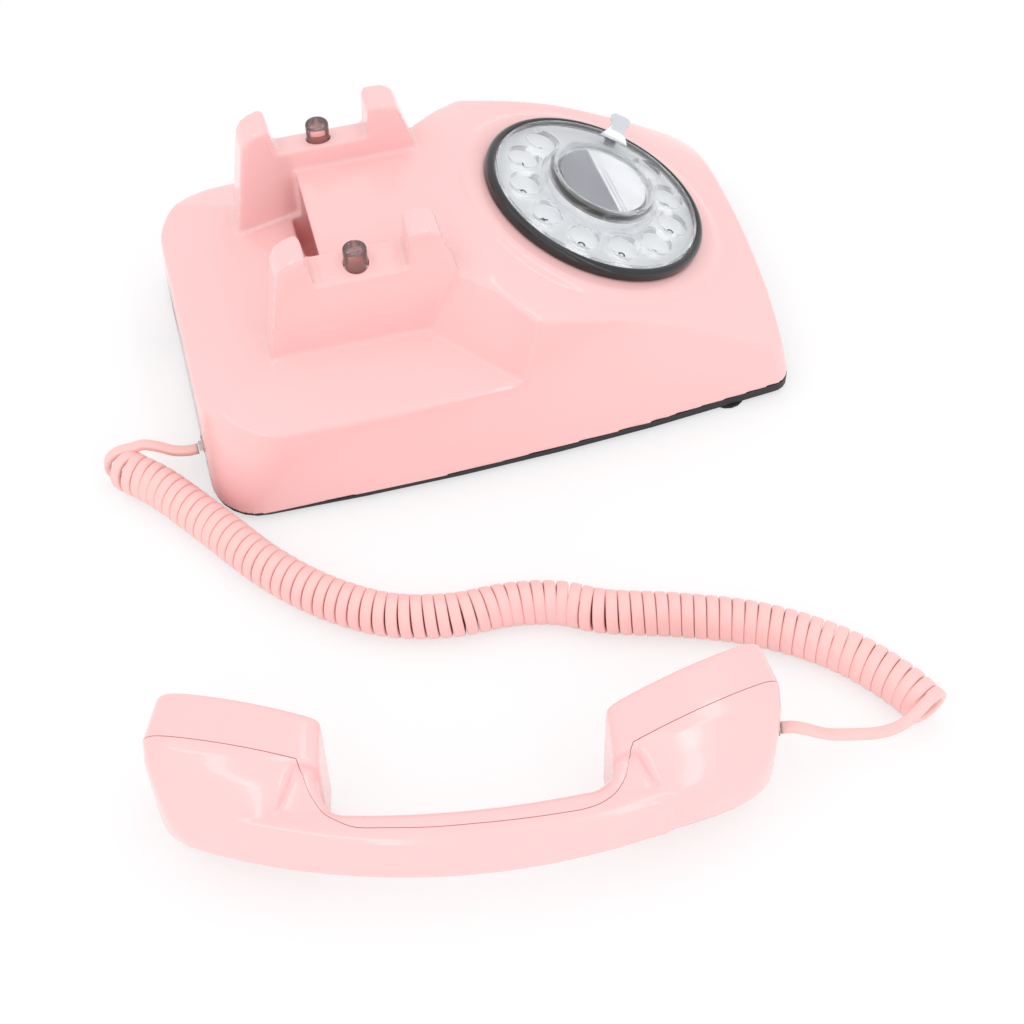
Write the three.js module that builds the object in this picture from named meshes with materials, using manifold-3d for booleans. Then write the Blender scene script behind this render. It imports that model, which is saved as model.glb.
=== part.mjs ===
// Rotary-dial desk telephone with its handset laid beside it on the table.
// Millimetres, +Z up, +X to the user's right, -Y towards the user. The parts are drawn about the
// middle of the telephone's own plan, and one group at the end moves the origin to its final place.
import * as THREE from 'three';
import { mergeVertices } from 'three/addons/utils/BufferGeometryUtils.js';
import Module from 'manifold-3d';

const wasm = await Module();
wasm.setup();

// ---- driving dimensions -------------------------------------------------------------------
const gap = 0.3;                      // face-to-face clearance between neighbouring pieces
const mergeStep = 1e-4;               // vertices closer than this are one vertex

const plan = {                        // outline of the telephone seen from above
  halfWidth: 78.2, widestY: 46, sideRadius: 1374,
  frontY: -125.5, frontRadius: 600, rearY: 118.6,
  frontCorner: 8.5, rearCorner: 20,
  draftTop: 11.3, draftHeight: 69, draftPower: 1.2,
  frontLean: 0.18, rearLean: 0.02,
};
const shell = {                       // the lower edge rises from the rear to the front
  rearEdgeZ: 3.4, frontEdgeZ: 6.8, floorZ: -1, topZ: 112, wall: 2.6, gridStep: 9, innerGridStep: 26,
};
const table = { z: 81.5, frontY: 3, rearY: 60.2, edgeHalfWidth: 65, crownPower: 3.5 };
const deckEdge = [                    // height of the deck along its two side edges, [y, z]
  [-128, 8], [-120.5, 18.5], [-114, 25.5], [-105, 32], [-80.5, 46.5], [-50, 61.2], [-9.3, 71.9], [10, 75],
  [62, 79],
];
const cradle = {
  outerX: 43.2, innerX: 29.2, saddleZ: 91.5, saddleOuterZ: 87.6, saddleFrontY: 29.7, saddleRearY: 66.5,
  footY: 10.4, footZ: 80.4, frontCrestY: 22.5, frontCrestZ: 105.8,
  rearCrestY: 69.1, rearCrestZ: 103.7, rearCrestLength: 5.4, rearTopY: 80.3, rearTopZ: 98.1,
  rearFootY: 86.5, frontBottomY: 24.4, frontBottomZ: 54.2,
};
const scoop = { floorZ: 53.8, floorSlope: 0.4, shoulderX: 65.2, shoulderY: -9.3, shoulderZ: 71.9,
  creaseX: 70.9, creaseY: 9.8, creaseZ: 44, facetX: 50.1, facetY: 17.4, facetZ: 50 };
const shelf = { z: 52.8, slope: 0.25 };
const pit = { halfWidth: 27, frontY: 38, rearY: 64, bottomZ: 41, roof: 3.6 };

const dial = {
  y: -57.2, z: 67.2, tilt: 22.3,      // middle of the finger wheel's rim plane
  plateauRadius: 56.8, plateauTop: -5.8, plateauEdge: 2, plateauDepth: 26,
  bezelRadius: 47.3, bezelTop: -0.6, bezelWall: 3.3,
  wheelRadius: 43.6, wheelThickness: 2.2, domeRise: 6.2, ringRadius: 21.4, ringWidth: 1.9, ringRise: 1.1,
  holeCount: 10, holeRadius: 6.3, holeCircle: 33.2, holePitch: 30, firstHole: 32,
  plateRadius: 43.2, plateThickness: 1, plateTop: -4.2,
  cardRadius: 18.3, cardThickness: 0.5, coverThickness: 0.8,
  shaftRadius: 3, bushRadius: 6, housingRadius: 38, housingDepth: 20, housingWall: 1.6,
  stopAngle: -27, stopReach: 13, stopWidth: 9.6, stopThickness: 1.5, stopHeight: 5.4,
  running: 0.35,
};
const plunger = { x: 36, y: 48.7, radius: 4.6, topZ: 97.4, flangeWidth: 7.8, flangeLength: 14,
  flangeHeight: 2.4, length: 16, running: 0.4 };
const lever = { pivotY: 24, pivotZ: 70, pinRadius: 1.5, pinLength: 78, bossRadius: 3.6, armWidth: 7.6,
  padY: 48.7, padWidth: 2, springRadius: 3.6, springLength: 16, frameX: 24, frameWall: 2.4 };
const base = { plateBottom: 2.2, flangeInset: 0.7, trayInset: 1.8, trayHeight: 1.5, deckTop: 8.3,
  footRadius: 7.5, footX: 63.5, footY: 95, screwX: 60, screwY: 75, bossRadius: 4.2, screwHead: 3.4,
  screwHeadHeight: 1.1, screwShank: 1.5, screwLength: 12 };

const inside = {
  board: { halfWidth: 50, frontY: 36, rearY: 86, thickness: 1.6 },
  post: { radius: 3, height: 5, inset: 5 },
  ballast: { halfWidth: 48, frontY: -44, rearY: -8, height: 9 },
  ringer: { y: -73, radius: 21, height: 12, neckRadius: 15, chamfer: 2 },
};

const handset = {
  x: -204.5, y: 51, turn: -11.06,     // middle of the handset on the table and its turn about +Z
  middleZ: 28.6, halfHeight: 28.3, spineHalf: 13.5, spineEdge: 5, spineRound: 7.5,
  backRadius: 240, backX: -57.2, backMiddleY: 6, gripX: -42.2, gripRadius: 330, gripSlope: 0.036,
  wallY: 49.5, gripFillet: 10, rootX: -22, wall: 2.8, capEdge: 2.4, faceFlare: 0.6, arch: 0.11,
  cornerInset: 7.8,
};
// The two cups: the lean of the face, its middle, its length, then the inner and outer rail of the rest
// as [x, y] pairs, and the share of the half height at each pair. The first pair is the parting plane.
const earCup = {
  tilt: 15.7, x: -4.6, y: 75.3, side: 1, length: 58.6,
  innerRail: [[-30.6, 48.3], [-29.6, 56.2], [-36.9, 60.4], [-43.2, 65], [-45.2, 71], [-46, 76]],
  outerRail: [[-14.4, 108.6], [-21, 107.8], [-29.6, 104.8], [-36.6, 100.8], [-40, 97], [-41.8, 92.5]],
  heights: [1, 0.98, 0.8, 0.54, 0.31, 0.14],
};
const mouthCup = {
  tilt: 23.6, x: -2.6, y: -75.7, side: -1, length: 61.2,
  innerRail: [[-33.3, 49.2], [-31.8, 57.3], [-38.2, 61.6], [-43.6, 66.4], [-44.8, 72], [-45.2, 77]],
  outerRail: [[-7.2, 109.3], [-15.6, 109], [-25.4, 106.4], [-32.6, 102.4], [-36, 98.6], [-38, 93.5]],
  heights: [1, 0.97, 0.75, 0.48, 0.27, 0.12],
};
// Squareness of the sections at the cap and along the rails, at the inner and the outer end.
const innerSquareness = [18, 18, 14, 9, 7, 6], outerSquareness = [9, 8, 5, 3, 2.5, 2.2];
// Ramp between the handle's side and each cap: x, inner y, outer y and half height.
const ramp = [[-29, 49.5, 62, 25.4], [-31, 49.4, 62.3, 24], [-34.5, 48.8, 63, 21], [-38.5, 47.3, 65, 17.4],
  [-42.5, 44.8, 67, 14.8], [-46, 41.4, 69, 12.2]];
const partingGrip = [                 // the parting line along the handle, [x, y]
  [-31.5, 54.3], [-35.1, 53], [-38.8, 50.8], [-43.2, 47.2], [-46.1, 42.8], [-48.4, 37.9], [-49.4, 27.6],
  [-50.2, 12], [-49.8, -6], [-49.2, -18], [-48.1, -30.5], [-46.9, -39.6], [-44.5, -46.1], [-40.6, -50.9],
  [-36.6, -53.8], [-32.8, -54.9],
];
// The jack's mouth in the end wall of the mouthpiece cup, in the handset's own frame.
const jack = { x: -12.3, y: -108, reach: 0.7 };
const capsule = { radius: 20, lipWidth: 6, lipHeight: 3, depth: 11, setBack: 5.4 };

const wire = { diameter: 3.8, width: 3.9, thickness: 2.9, sides: 8 };
const coil = { outer: 17, turns: 74, steps: 8, sides: 5, restHeight: 0.15, lead: 4, opening: 0.03 };
const plug = { width: 7.7, height: 6.6, length: 10, waist: 1.4 };
const sleeve = { wall: 1.5, depth: 11 };  // round the plug, in the rear wall and in the handset

// ---- shape helpers ------------------------------------------------------------------------
const radians = THREE.MathUtils.degToRad;
const at = (x, y, z) => new THREE.Vector3(x, y, z);

function signedVolume(position, index) {
  const a = at(0, 0, 0), b = at(0, 0, 0), c = at(0, 0, 0);
  let sum = 0;
  for (let i = 0; i < index.length; i += 3) {
    a.fromBufferAttribute(position, index[i]);
    b.fromBufferAttribute(position, index[i + 1]);
    c.fromBufferAttribute(position, index[i + 2]);
    sum += a.dot(b.cross(c)) / 6;
  }
  return sum;
}

function solidOf(geometry) {
  const bare = geometry.clone();
  bare.deleteAttribute('normal');
  bare.deleteAttribute('uv');
  const merged = mergeVertices(bare, mergeStep);
  const corners = Array.from(merged.index.array);
  const triangles = [];
  for (let i = 0; i < corners.length; i += 3) {
    const [a, b, c] = corners.slice(i, i + 3);
    if (a !== b && b !== c && c !== a) triangles.push(a, b, c);
  }
  if (signedVolume(merged.attributes.position, triangles) < 0) triangles.reverse();
  return new wasm.Manifold(new wasm.Mesh({
    numProp: 3,
    vertProperties: Float32Array.from(merged.attributes.position.array),
    triVerts: Uint32Array.from(triangles),
  }));
}

function geometryOf(solid) {
  const mesh = solid.getMesh();
  const geometry = new THREE.BufferGeometry();
  geometry.setAttribute('position', new THREE.BufferAttribute(mesh.vertProperties, 3));
  geometry.setIndex(new THREE.BufferAttribute(mesh.triVerts, 1));
  geometry.computeVertexNormals();
  return geometry;
}

function joined(first, ...others) {
  return others.reduce((sum, other) => sum.add(other), first);
}

// A closed skin over rings of equal point counts, with flat ends.
function loft(rings) {
  const count = rings[0].length;
  const points = rings.flat();
  const index = [];
  for (let r = 0; r + 1 < rings.length; r++) {
    for (let i = 0; i < count; i++) {
      const a = r * count + i, b = r * count + (i + 1) % count;
      index.push(a, b, b + count, a, b + count, a + count);
    }
  }
  const middle = ring => ring.reduce((sum, p) => sum.add(p), at(0, 0, 0)).divideScalar(count);
  const last = (rings.length - 1) * count;
  points.push(middle(rings[0]), middle(rings[rings.length - 1]));
  for (let i = 0; i < count; i++) {
    const next = (i + 1) % count;
    index.push(points.length - 2, next, i, points.length - 1, last + i, last + next);
  }
  const geometry = new THREE.BufferGeometry().setFromPoints(points);
  geometry.setIndex(index);
  return geometry;
}

function shapeOf(points) {
  return new THREE.Shape(points.map(([x, y]) => new THREE.Vector2(x, y)));
}

function prismZ(points, z0, z1) {
  const geometry = new THREE.ExtrudeGeometry(shapeOf(points), { depth: z1 - z0, bevelEnabled: false });
  return geometry.translate(0, 0, z0);
}

// A prism along X from a side outline given as [y, z] points.
function prismX(points, x0, x1) {
  const geometry = new THREE.ExtrudeGeometry(shapeOf(points), { depth: x1 - x0, bevelEnabled: false });
  const turn = new THREE.Matrix4().makeBasis(at(0, 1, 0), at(0, 0, 1), at(1, 0, 0));
  return geometry.applyMatrix4(turn).translate(x0, 0, 0);
}

function box(x0, x1, y0, y1, z0, z1) {
  const geometry = new THREE.BoxGeometry(x1 - x0, y1 - y0, z1 - z0);
  return geometry.translate((x0 + x1) / 2, (y0 + y1) / 2, (z0 + z1) / 2);
}

// A body turned about Z from [radius, z] points that start and end on the axis or close up.
function turned(profile, sides = 40) {
  const points = profile.map(([r, z]) => new THREE.Vector2(r, z));
  return new THREE.LatheGeometry(points, sides).rotateX(Math.PI / 2);
}

function disc(radius, z0, z1, sides = 24) {
  return turned([[0, z0], [radius, z0], [radius, z1], [0, z1]], sides);
}

function ringBody(inner, outer, z0, z1, sides = 24) {
  return turned([[inner, z0], [outer, z0], [outer, z1], [inner, z1], [inner, z0]], sides);
}

// Arc points round a centre, angles in degrees.
function arc(cx, cy, radius, from, to, steps) {
  return Array.from({ length: steps + 1 }, (_, i) => {
    const angle = radians(from + (to - from) * i / steps);
    return [cx + radius * Math.cos(angle), cy + radius * Math.sin(angle)];
  });
}

// Smooth height along a list of [y, z] stations, by cubic pieces with averaged slopes.
function alongStations(stations, y) {
  const last = stations.length - 1;
  const slope = i => {
    const [y0, z0] = stations[Math.max(i - 1, 0)];
    const [y1, z1] = stations[Math.min(i + 1, last)];
    return (z1 - z0) / (y1 - y0);
  };
  let i = 0;
  while (i < last - 1 && y > stations[i + 1][0]) i++;
  const [ya, za] = stations[i], [yb, zb] = stations[i + 1];
  const t = THREE.MathUtils.clamp((y - ya) / (yb - ya), 0, 1), h = yb - ya;
  return za * (2 * t ** 3 - 3 * t ** 2 + 1) + zb * (3 * t ** 2 - 2 * t ** 3)
    + slope(i) * h * (t ** 3 - 2 * t ** 2 + t) + slope(i + 1) * h * (t ** 3 - t ** 2);
}

// ---- body shell ---------------------------------------------------------------------------
// The plan outline, drawn in by an inset, as [x, y] points; it is bowed on its sides and front.
function planOutline(inset) {
  const side = y => plan.halfWidth - (y - plan.widestY) ** 2 / (2 * plan.sideRadius) - inset;
  const front = x => plan.frontY + x ** 2 / (2 * plan.frontRadius) + inset;
  const rearY = plan.rearY - inset;
  const rearR = Math.max(plan.rearCorner - inset, 2), frontR = Math.max(plan.frontCorner - inset, 2);
  const rearX = side(rearY - rearR), frontX = side(front(60) + frontR);
  const frontSide = front(frontX - frontR);
  const right = [
    ...Array.from({ length: 5 }, (_, i) => (i * (frontX - frontR)) / 5).map(x => [x, front(x)]),
    ...arc(frontX - frontR, frontSide + frontR, frontR, -90, 0, 5),
    ...[-60, -20, 20, 60].map(y => [side(y), y]),
    ...arc(rearX - rearR, rearY - rearR, rearR, 0, 90, 6),
  ];
  const left = right.slice(1).reverse().map(([x, y]) => [-x, y]);
  return [...right, ...left];
}

// Height of the shell's lower edge, a plane that rises to the front.
function lowerEdgeZ(y) {
  const front = THREE.MathUtils.clamp((plan.rearY - y) / (plan.rearY - plan.frontY), 0, 1);
  return shell.rearEdgeZ + (shell.frontEdgeZ - shell.rearEdgeZ) * front;
}

// The upright walls: plan sections that lean in with height.
function wallsSolid(inset) {
  const outline = planOutline(inset);
  const levels = inset > 0 ? [0, 32, 60, shell.topZ] : [0, 16, 34, 54, 76, shell.topZ];
  const rings = levels.map(z => outline.map(([x, y]) => {
    const height = z > 0 ? z : lowerEdgeZ(y), rise = height - shell.rearEdgeZ;
    const squeeze = 1 - plan.draftTop * (rise / plan.draftHeight) ** plan.draftPower / plan.halfWidth;
    const rear = (y - plan.frontY) / (plan.rearY - plan.frontY);
    const lean = plan.frontLean * rise * (1 - rear) - plan.rearLean * rise * rear;
    return at(x * squeeze, y + lean, height);
  }));
  if (inset > 0) rings.unshift(rings[0].map(p => at(p.x, p.y, shell.floorZ)));
  return solidOf(loft(rings));
}

// Height of the plane that the dial stands on, above the middle line.
function dialPlaneZ(y) {
  const t = radians(dial.tilt);
  const y0 = dial.y - dial.plateauTop * Math.sin(t), z0 = dial.z + dial.plateauTop * Math.cos(t);
  return z0 + (y - y0) * Math.tan(t);
}

function deckZ(x, y) {
  const sink = 1.5;
  const middle = Math.min(dialPlaneZ(y) - sink, table.z);
  const blend = THREE.MathUtils.smoothstep(y, -12, table.frontY + 4);
  const centre = middle * (1 - blend) + Math.min(table.z, dialPlaneZ(y) - sink) * blend;
  const edge = Math.min(alongStations(deckEdge, y), centre);
  const share = Math.min(Math.abs(x) / table.edgeHalfWidth, 1.25) ** table.crownPower;
  return centre - (centre - edge) * share;
}

// Everything under the deck from the front lip to the rear edge of the table between the cradles.
function deckSolid(inset, step) {
  const x1 = plan.halfWidth + 3, y0 = plan.frontY - 5, y1 = table.rearY - inset;
  const columns = 2 * Math.round(x1 / step), rows = Math.round((y1 - y0) / step);
  const xs = Array.from({ length: columns + 1 }, (_, i) => -x1 + 2 * x1 * i / columns);
  const ys = Array.from({ length: rows + 1 }, (_, j) => y0 + (y1 - y0) * j / rows);
  const floor = shell.floorZ;
  const lowered = inset * 1.1;
  const points = [];
  for (const y of ys) for (const x of xs) points.push(at(x, y, deckZ(x, y) - lowered));
  const top = points.length, index = [];
  for (const y of ys) for (const x of xs) points.push(at(x, y, floor));
  const node = (i, j) => j * xs.length + i;
  const quad = (a, b, c, d) => index.push(a, b, c, a, c, d);
  for (let j = 0; j < rows; j++) {
    for (let i = 0; i < columns; i++) {
      quad(node(i, j), node(i + 1, j), node(i + 1, j + 1), node(i, j + 1));
      quad(top + node(i, j), top + node(i, j + 1), top + node(i + 1, j + 1), top + node(i + 1, j));
    }
  }
  for (let i = 0; i < columns; i++) {
    quad(top + node(i, 0), top + node(i + 1, 0), node(i + 1, 0), node(i, 0));
    quad(node(i, rows), node(i + 1, rows), top + node(i + 1, rows), top + node(i, rows));
  }
  for (let j = 0; j < rows; j++) {
    quad(node(0, j), node(0, j + 1), top + node(0, j + 1), top + node(0, j));
    quad(node(columns, j), top + node(columns, j), top + node(columns, j + 1), node(columns, j + 1));
  }
  const geometry = new THREE.BufferGeometry().setFromPoints(points);
  geometry.setIndex(index);
  return solidOf(geometry);
}

function shelfZ(y) {
  return shelf.z - shelf.slope * (y - cradle.rearFootY);
}

// The low rear part of the body, below the shelf behind the prongs.
function rearSolid(inset) {
  const y0 = table.rearY - 25, y1 = plan.rearY + 6;
  return solidOf(prismX([[y0, shell.floorZ], [y1, shell.floorZ], [y1, shelfZ(y1) - inset],
    [y0, shelfZ(y0) - inset]], -plan.halfWidth - 3, plan.halfWidth + 3));
}

// Side outline of a cradle block with its two prongs, as [y, z].
function cradleOutline() {
  const c = cradle, bottom = shelf.z - 20;
  return [
    [c.footY, bottom], [c.footY, c.footZ], [c.footY + 2.8, c.footZ + 10.6],
    [c.frontCrestY - 6, c.frontCrestZ - 3.8], [c.frontCrestY - 4.6, c.frontCrestZ - 2.2],
    [c.frontCrestY, c.frontCrestZ], [c.frontCrestY + 3.6, c.frontCrestZ],
    [c.frontCrestY + 5.8, c.frontCrestZ - 0.8], [c.frontCrestY + 6.5, c.frontCrestZ - 2.4],
    [c.saddleFrontY, c.saddleZ], [c.saddleRearY, c.saddleZ], [c.rearCrestY - 0.6, c.rearCrestZ - 1.4],
    [c.rearCrestY + 0.8, c.rearCrestZ], [c.rearCrestY + c.rearCrestLength, c.rearCrestZ - 1.2],
    [c.rearTopY - 2.2, c.rearTopZ + 1.9],
    [c.rearTopY, c.rearTopZ - 2], [c.rearFootY, shelf.z], [c.rearFootY, bottom],
  ];
}

function cradleInnerOutline(inset) {
  const c = cradle, bottom = shelf.z - 20, roof = c.saddleOuterZ - inset;
  return [[c.footY, bottom], [c.footY + inset, c.footZ - 4 * inset], [c.frontCrestY + inset, roof],
    [c.saddleRearY + inset, roof], [c.rearTopY - 3 * inset, roof],
    [c.rearFootY - 1.4 * inset, shelf.z - inset], [c.rearFootY - 1.4 * inset, bottom]];
}

// What is cut from a saddle's flat floor, so that it falls towards the outside.
function saddleWedge(side) {
  const c = cradle, top = c.saddleZ + 3, outer = c.outerX + 1;
  const section = [[c.innerX, c.saddleZ], [outer, c.saddleOuterZ], [outer, top], [c.innerX, top]];
  const rings = [c.saddleFrontY, c.saddleRearY].map(y => section.map(([x, z]) => at(side * x, y, z)));
  return solidOf(loft(rings));
}

function cradleSolid(side, inset) {
  const outline = inset > 0 ? cradleInnerOutline(inset) : cradleOutline();
  const inner = side * (cradle.innerX + inset), outer = side * (cradle.outerX - inset);
  const block = solidOf(prismX(outline, Math.min(inner, outer), Math.max(inner, outer)));
  return inset > 0 ? block : block.subtract(saddleWedge(side));
}

// A slab-like block on the far side of a plane through three points, to cut with.
function beyondPlane(a, b, c, outward, shift) {
  const normal = b.clone().sub(a).cross(c.clone().sub(a)).normalize();
  if (normal.dot(outward) < 0) normal.negate();
  const size = 200;
  const turn = new THREE.Quaternion().setFromUnitVectors(at(0, 0, 1), normal);
  const centre = a.clone().addScaledVector(normal, size / 2 - shift);
  const geometry = new THREE.BoxGeometry(size, size, size).applyQuaternion(turn);
  return solidOf(geometry.translate(centre.x, centre.y, centre.z));
}

// The hollow beside one cradle block, under the handset's cup.
function scoopSolid(side, inset) {
  const s = scoop, c = cradle, rise = shell.topZ + 20;
  const foot = at(side * c.outerX, c.footY, c.footZ);
  const bottom = at(side * c.outerX, c.frontBottomY, c.frontBottomZ);
  const shoulder = at(side * s.shoulderX, s.shoulderY, s.shoulderZ);
  const crease = at(side * s.creaseX, s.creaseY, s.creaseZ);
  const facet = at(side * s.facetX, s.facetY, s.facetZ);
  const away = at(side, 1, 1);
  const front = beyondPlane(foot, shoulder, crease, away, inset)
    .add(beyondPlane(foot, bottom, facet, away, inset));
  const inner = c.outerX - inset, outer = plan.halfWidth + 12;
  const floorAt = x => s.floorZ - s.floorSlope * (x - c.outerX) - inset;
  const y0 = s.shoulderY - 12, y1 = plan.rearY + 12;
  const corner = (x, y, z) => at(side * x, y, z);
  const rings = [y0, y1].map(y => [corner(inner, y, floorAt(inner)), corner(outer, y, floorAt(outer)),
    corner(outer, y, rise), corner(inner, y, rise)]);
  return solidOf(loft(rings)).intersect(front);
}

// The finger pit under the rear edge of the table, where a hand carries the telephone.
function pitSolid(grow) {
  const p = pit, roofZ = table.z - p.roof + grow;
  return solidOf(prismX([[p.frontY - grow, p.bottomZ - grow], [p.rearY + grow, p.bottomZ - grow],
    [p.rearY + grow, shelfZ(p.rearY) + 3], [table.rearY + 1, shelfZ(table.rearY) + 4],
    [table.rearY + 1, roofZ], [p.frontY + 8 - grow, roofZ], [p.frontY - grow, roofZ - 8]],
  -p.halfWidth - grow, p.halfWidth + grow));
}

function placedOnDial(geometry) {
  return geometry.rotateX(radians(dial.tilt)).translate(0, dial.y, dial.z);
}

function plateauSolid(inset) {
  const top = dial.plateauTop - inset, r = dial.plateauRadius - inset, e = dial.plateauEdge;
  const low = top - dial.plateauDepth;
  const profile = [[0, low], [r, low], [r, top - e], [r - 0.3 * e, top - 0.35 * e], [r - e, top], [0, top]];
  return solidOf(placedOnDial(turned(profile, 48)));
}

function bodyMass(inset, step) {
  const deck = deckSolid(inset, step).add(plateauSolid(inset));
  let mass = joined(deck, rearSolid(inset), cradleSolid(1, inset), cradleSolid(-1, inset));
  mass = mass.intersect(wallsSolid(inset));
  for (const side of [1, -1]) mass = mass.subtract(scoopSolid(side, inset));
  return mass.subtract(pitSolid(inset));
}

const screwSpots = [[1, -1], [-1, -1], [1, 1], [-1, 1]];
const cordSocket = { x: -42.8, z: 11, width: plug.width + 2 * gap, height: plug.height + 2 * gap };
const lineSocket = { x: 30, z: 12.2, width: 13, height: 11 };

// A sleeve that takes a plug, open on its +Y face, which lies at Y = 0.
function socketSolid(spec) {
  const w = spec.width / 2, h = spec.height / 2, t = sleeve.wall, d = sleeve.depth;
  const hollow = solidOf(box(-w, w, -d + t, 1, -h, h));
  return solidOf(box(-w - t, w + t, -d, 0, -h - t, h + t)).subtract(hollow);
}

function socketOpening(spec) {
  const w = spec.width / 2 + sleeve.wall + gap, h = spec.height / 2 + sleeve.wall + gap;
  return solidOf(box(spec.x - w, spec.x + w, plan.rearY - 12, plan.rearY + 5, spec.z - h, spec.z + h));
}

function trayTopZ(y) {
  return lowerEdgeZ(y) + base.trayHeight;
}

function bodyShell() {
  const outer = bodyMass(0, shell.gridStep);
  let body = outer.subtract(bodyMass(shell.wall, shell.innerGridStep));
  for (const [sx, sy] of screwSpots) {
    const y = sy * base.screwY;
    const boss = disc(base.bossRadius, trayTopZ(y - base.bossRadius) + gap, 50, 10);
    body = body.add(solidOf(boss.translate(sx * base.screwX, y, 0)).intersect(outer));
  }
  for (const [sx, sy] of screwSpots) {
    body = body.subtract(solidOf(disc(base.screwShank + gap, -5, base.plateBottom + base.screwLength + 1, 8)
      .translate(sx * base.screwX, sy * base.screwY, 0)));
  }
  const dialHole = disc(dial.housingRadius + gap, dial.plateauTop - 16, dial.plateauTop + 4, 32);
  body = body.subtract(solidOf(placedOnDial(dialHole)));
  for (const side of [1, -1]) {
    const hole = disc(plunger.radius + plunger.running, cradle.saddleZ - 14, cradle.saddleZ + 4, 16);
    body = body.subtract(solidOf(hole.translate(side * plunger.x, plunger.y, 0)));
  }
  return body.subtract(socketOpening(cordSocket)).subtract(socketOpening(lineSocket));
}

// The base: a plate just inside the shell's edge, a tray that stands within the walls and a raised deck.
function basePlate() {
  const b = base;
  const layer = (inset, lift) => {
    const outline = planOutline(inset);
    return solidOf(loft([outline.map(([x, y]) => at(x, y, b.plateBottom)),
      outline.map(([x, y]) => at(x, y, lowerEdgeZ(y) + lift))]));
  };
  const raised = solidOf(box(-53, 53, -96, 88, b.plateBottom + 0.5, b.deckTop));
  let plate = joined(layer(b.flangeInset, -gap), layer(shell.wall + b.trayInset, b.trayHeight), raised);
  for (const [sx, sy] of screwSpots) {
    const x = sx * b.screwX, y = sy * b.screwY;
    plate = plate.subtract(solidOf(disc(b.screwShank + gap, 0, 12, 8).translate(x, y, 0)));
    plate = plate.subtract(solidOf(disc(b.screwHead + gap, 0, b.plateBottom + b.screwHeadHeight + gap, 12)
      .translate(x, y, 0)));
  }
  return plate;
}

function screwGeometry(head, headHeight, shank, length, sides = 8) {
  return turned([[0, 0], [head * 0.9, 0], [head, 0.3], [head, headHeight], [shank, headHeight],
    [shank, length - 1], [0, length]], sides);
}

// ---- dial ---------------------------------------------------------------------------------
function bezelGeometry() {
  const d = dial, low = d.plateauTop + gap, high = d.bezelTop, outer = d.bezelRadius;
  const inner = outer - d.bezelWall;
  return turned([
    [inner, low], [outer, low], [outer, high - 2.4], [outer - 0.6, high - 1.1],
    [outer - 1.4, high - 0.2], [outer - 2.2, high], [inner + 0.4, high - 0.3], [inner, high - 1],
    [inner, low],
  ], 48);
}

// Height of the finger wheel's upper face over its rim plane.
function wheelTop(r) {
  const d = dial, shoulder = 25.5;
  const slope = THREE.MathUtils.clamp((d.wheelRadius - 2 - r) / (d.wheelRadius - 2 - shoulder), 0, 1);
  const rise = THREE.MathUtils.smoothstep(r, d.ringRadius, shoulder);
  return 1.6 * slope + (d.domeRise - 1.6) * (1 - rise);
}

function wheelSolid() {
  const d = dial, t = d.wheelThickness;
  const radii = [d.wheelRadius - 2, 36, 25.5, 23.6];
  const upper = radii.map(r => [r, wheelTop(r)]);
  const lower = [...radii].reverse().map(r => [r, wheelTop(r) - t]);
  const ringOuter = d.ringRadius + 0.6, ringInner = ringOuter - d.ringWidth, floor = d.domeRise - 1.4;
  const profile = [
    [d.wheelRadius, -t + 0.5], [d.wheelRadius, -0.5], [d.wheelRadius - 0.5, 0], ...upper,
    [ringOuter, d.domeRise + 0.2], [ringOuter - 0.4, d.domeRise + d.ringRise],
    [ringInner + 0.4, d.domeRise + d.ringRise], [ringInner, d.domeRise], [ringInner, floor],
    [d.shaftRadius + gap, floor], [d.shaftRadius + gap, floor - t], ...lower,
    [d.wheelRadius - 0.8, -t], [d.wheelRadius, -t + 0.5],
  ];
  let wheel = solidOf(turned(profile, 40));
  for (let i = 0; i < d.holeCount; i++) {
    const angle = radians(d.firstHole + i * d.holePitch);
    wheel = wheel.subtract(solidOf(disc(d.holeRadius, -8, 12, 14)
      .translate(d.holeCircle * Math.cos(angle), d.holeCircle * Math.sin(angle), 0)));
  }
  return wheel;
}

// The finger stop: an upright outside the wheel and a hooked tongue over its rim.
function stopSolid() {
  const d = dial, w = d.stopWidth / 2, r1 = d.bezelRadius + 0.2, r0 = r1 - d.stopReach, t = d.stopThickness;
  const h = d.stopHeight;
  const side = [[r1 - d.bezelWall + 0.6, d.bezelTop + gap], [r1 - 1.2, d.bezelTop + gap],
    [r1 + 1.2, h - 1.5], [r1 + 1, h + 0.4], [r1 - 0.4, h + t], [r0 + 4, h + t * 0.6], [r0, h - 1.2],
    [r0 + 0.5, h - 2.4], [r0 + 4, h - 0.9], [r1 - 3.2, h - 0.2]];
  const geometry = new THREE.ExtrudeGeometry(shapeOf(side), { depth: 2 * w, bevelEnabled: false });
  const stand = new THREE.Matrix4().makeBasis(at(1, 0, 0), at(0, 0, 1), at(0, -1, 0));
  const blade = solidOf(geometry.applyMatrix4(stand).translate(0, w, 0));
  const round = solidOf(disc(w, -3, 12, 16).translate(r1 - w + 1.4, 0, 0))
    .add(solidOf(box(r0 - 1, r1 - w, -w * 0.62, w * 0.62, -3, 12)));
  return blade.intersect(round);
}

function housingGeometry() {
  const d = dial, r = d.housingRadius, w = d.housingWall, top = d.plateTop - d.plateThickness - gap;
  const low = top - d.housingDepth;
  return turned([[d.bushRadius + gap, low], [r, low], [r, top], [r - w, top], [r - w, low + w],
    [d.bushRadius + gap, low + w], [d.bushRadius + gap, low]], 32);
}

// ---- handset ------------------------------------------------------------------------------
const fineShares = [0.3, 0.58, 0.8, 0.91, 0.965, 0.993], coarseShares = [0.5, 0.85, 0.975];

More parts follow.
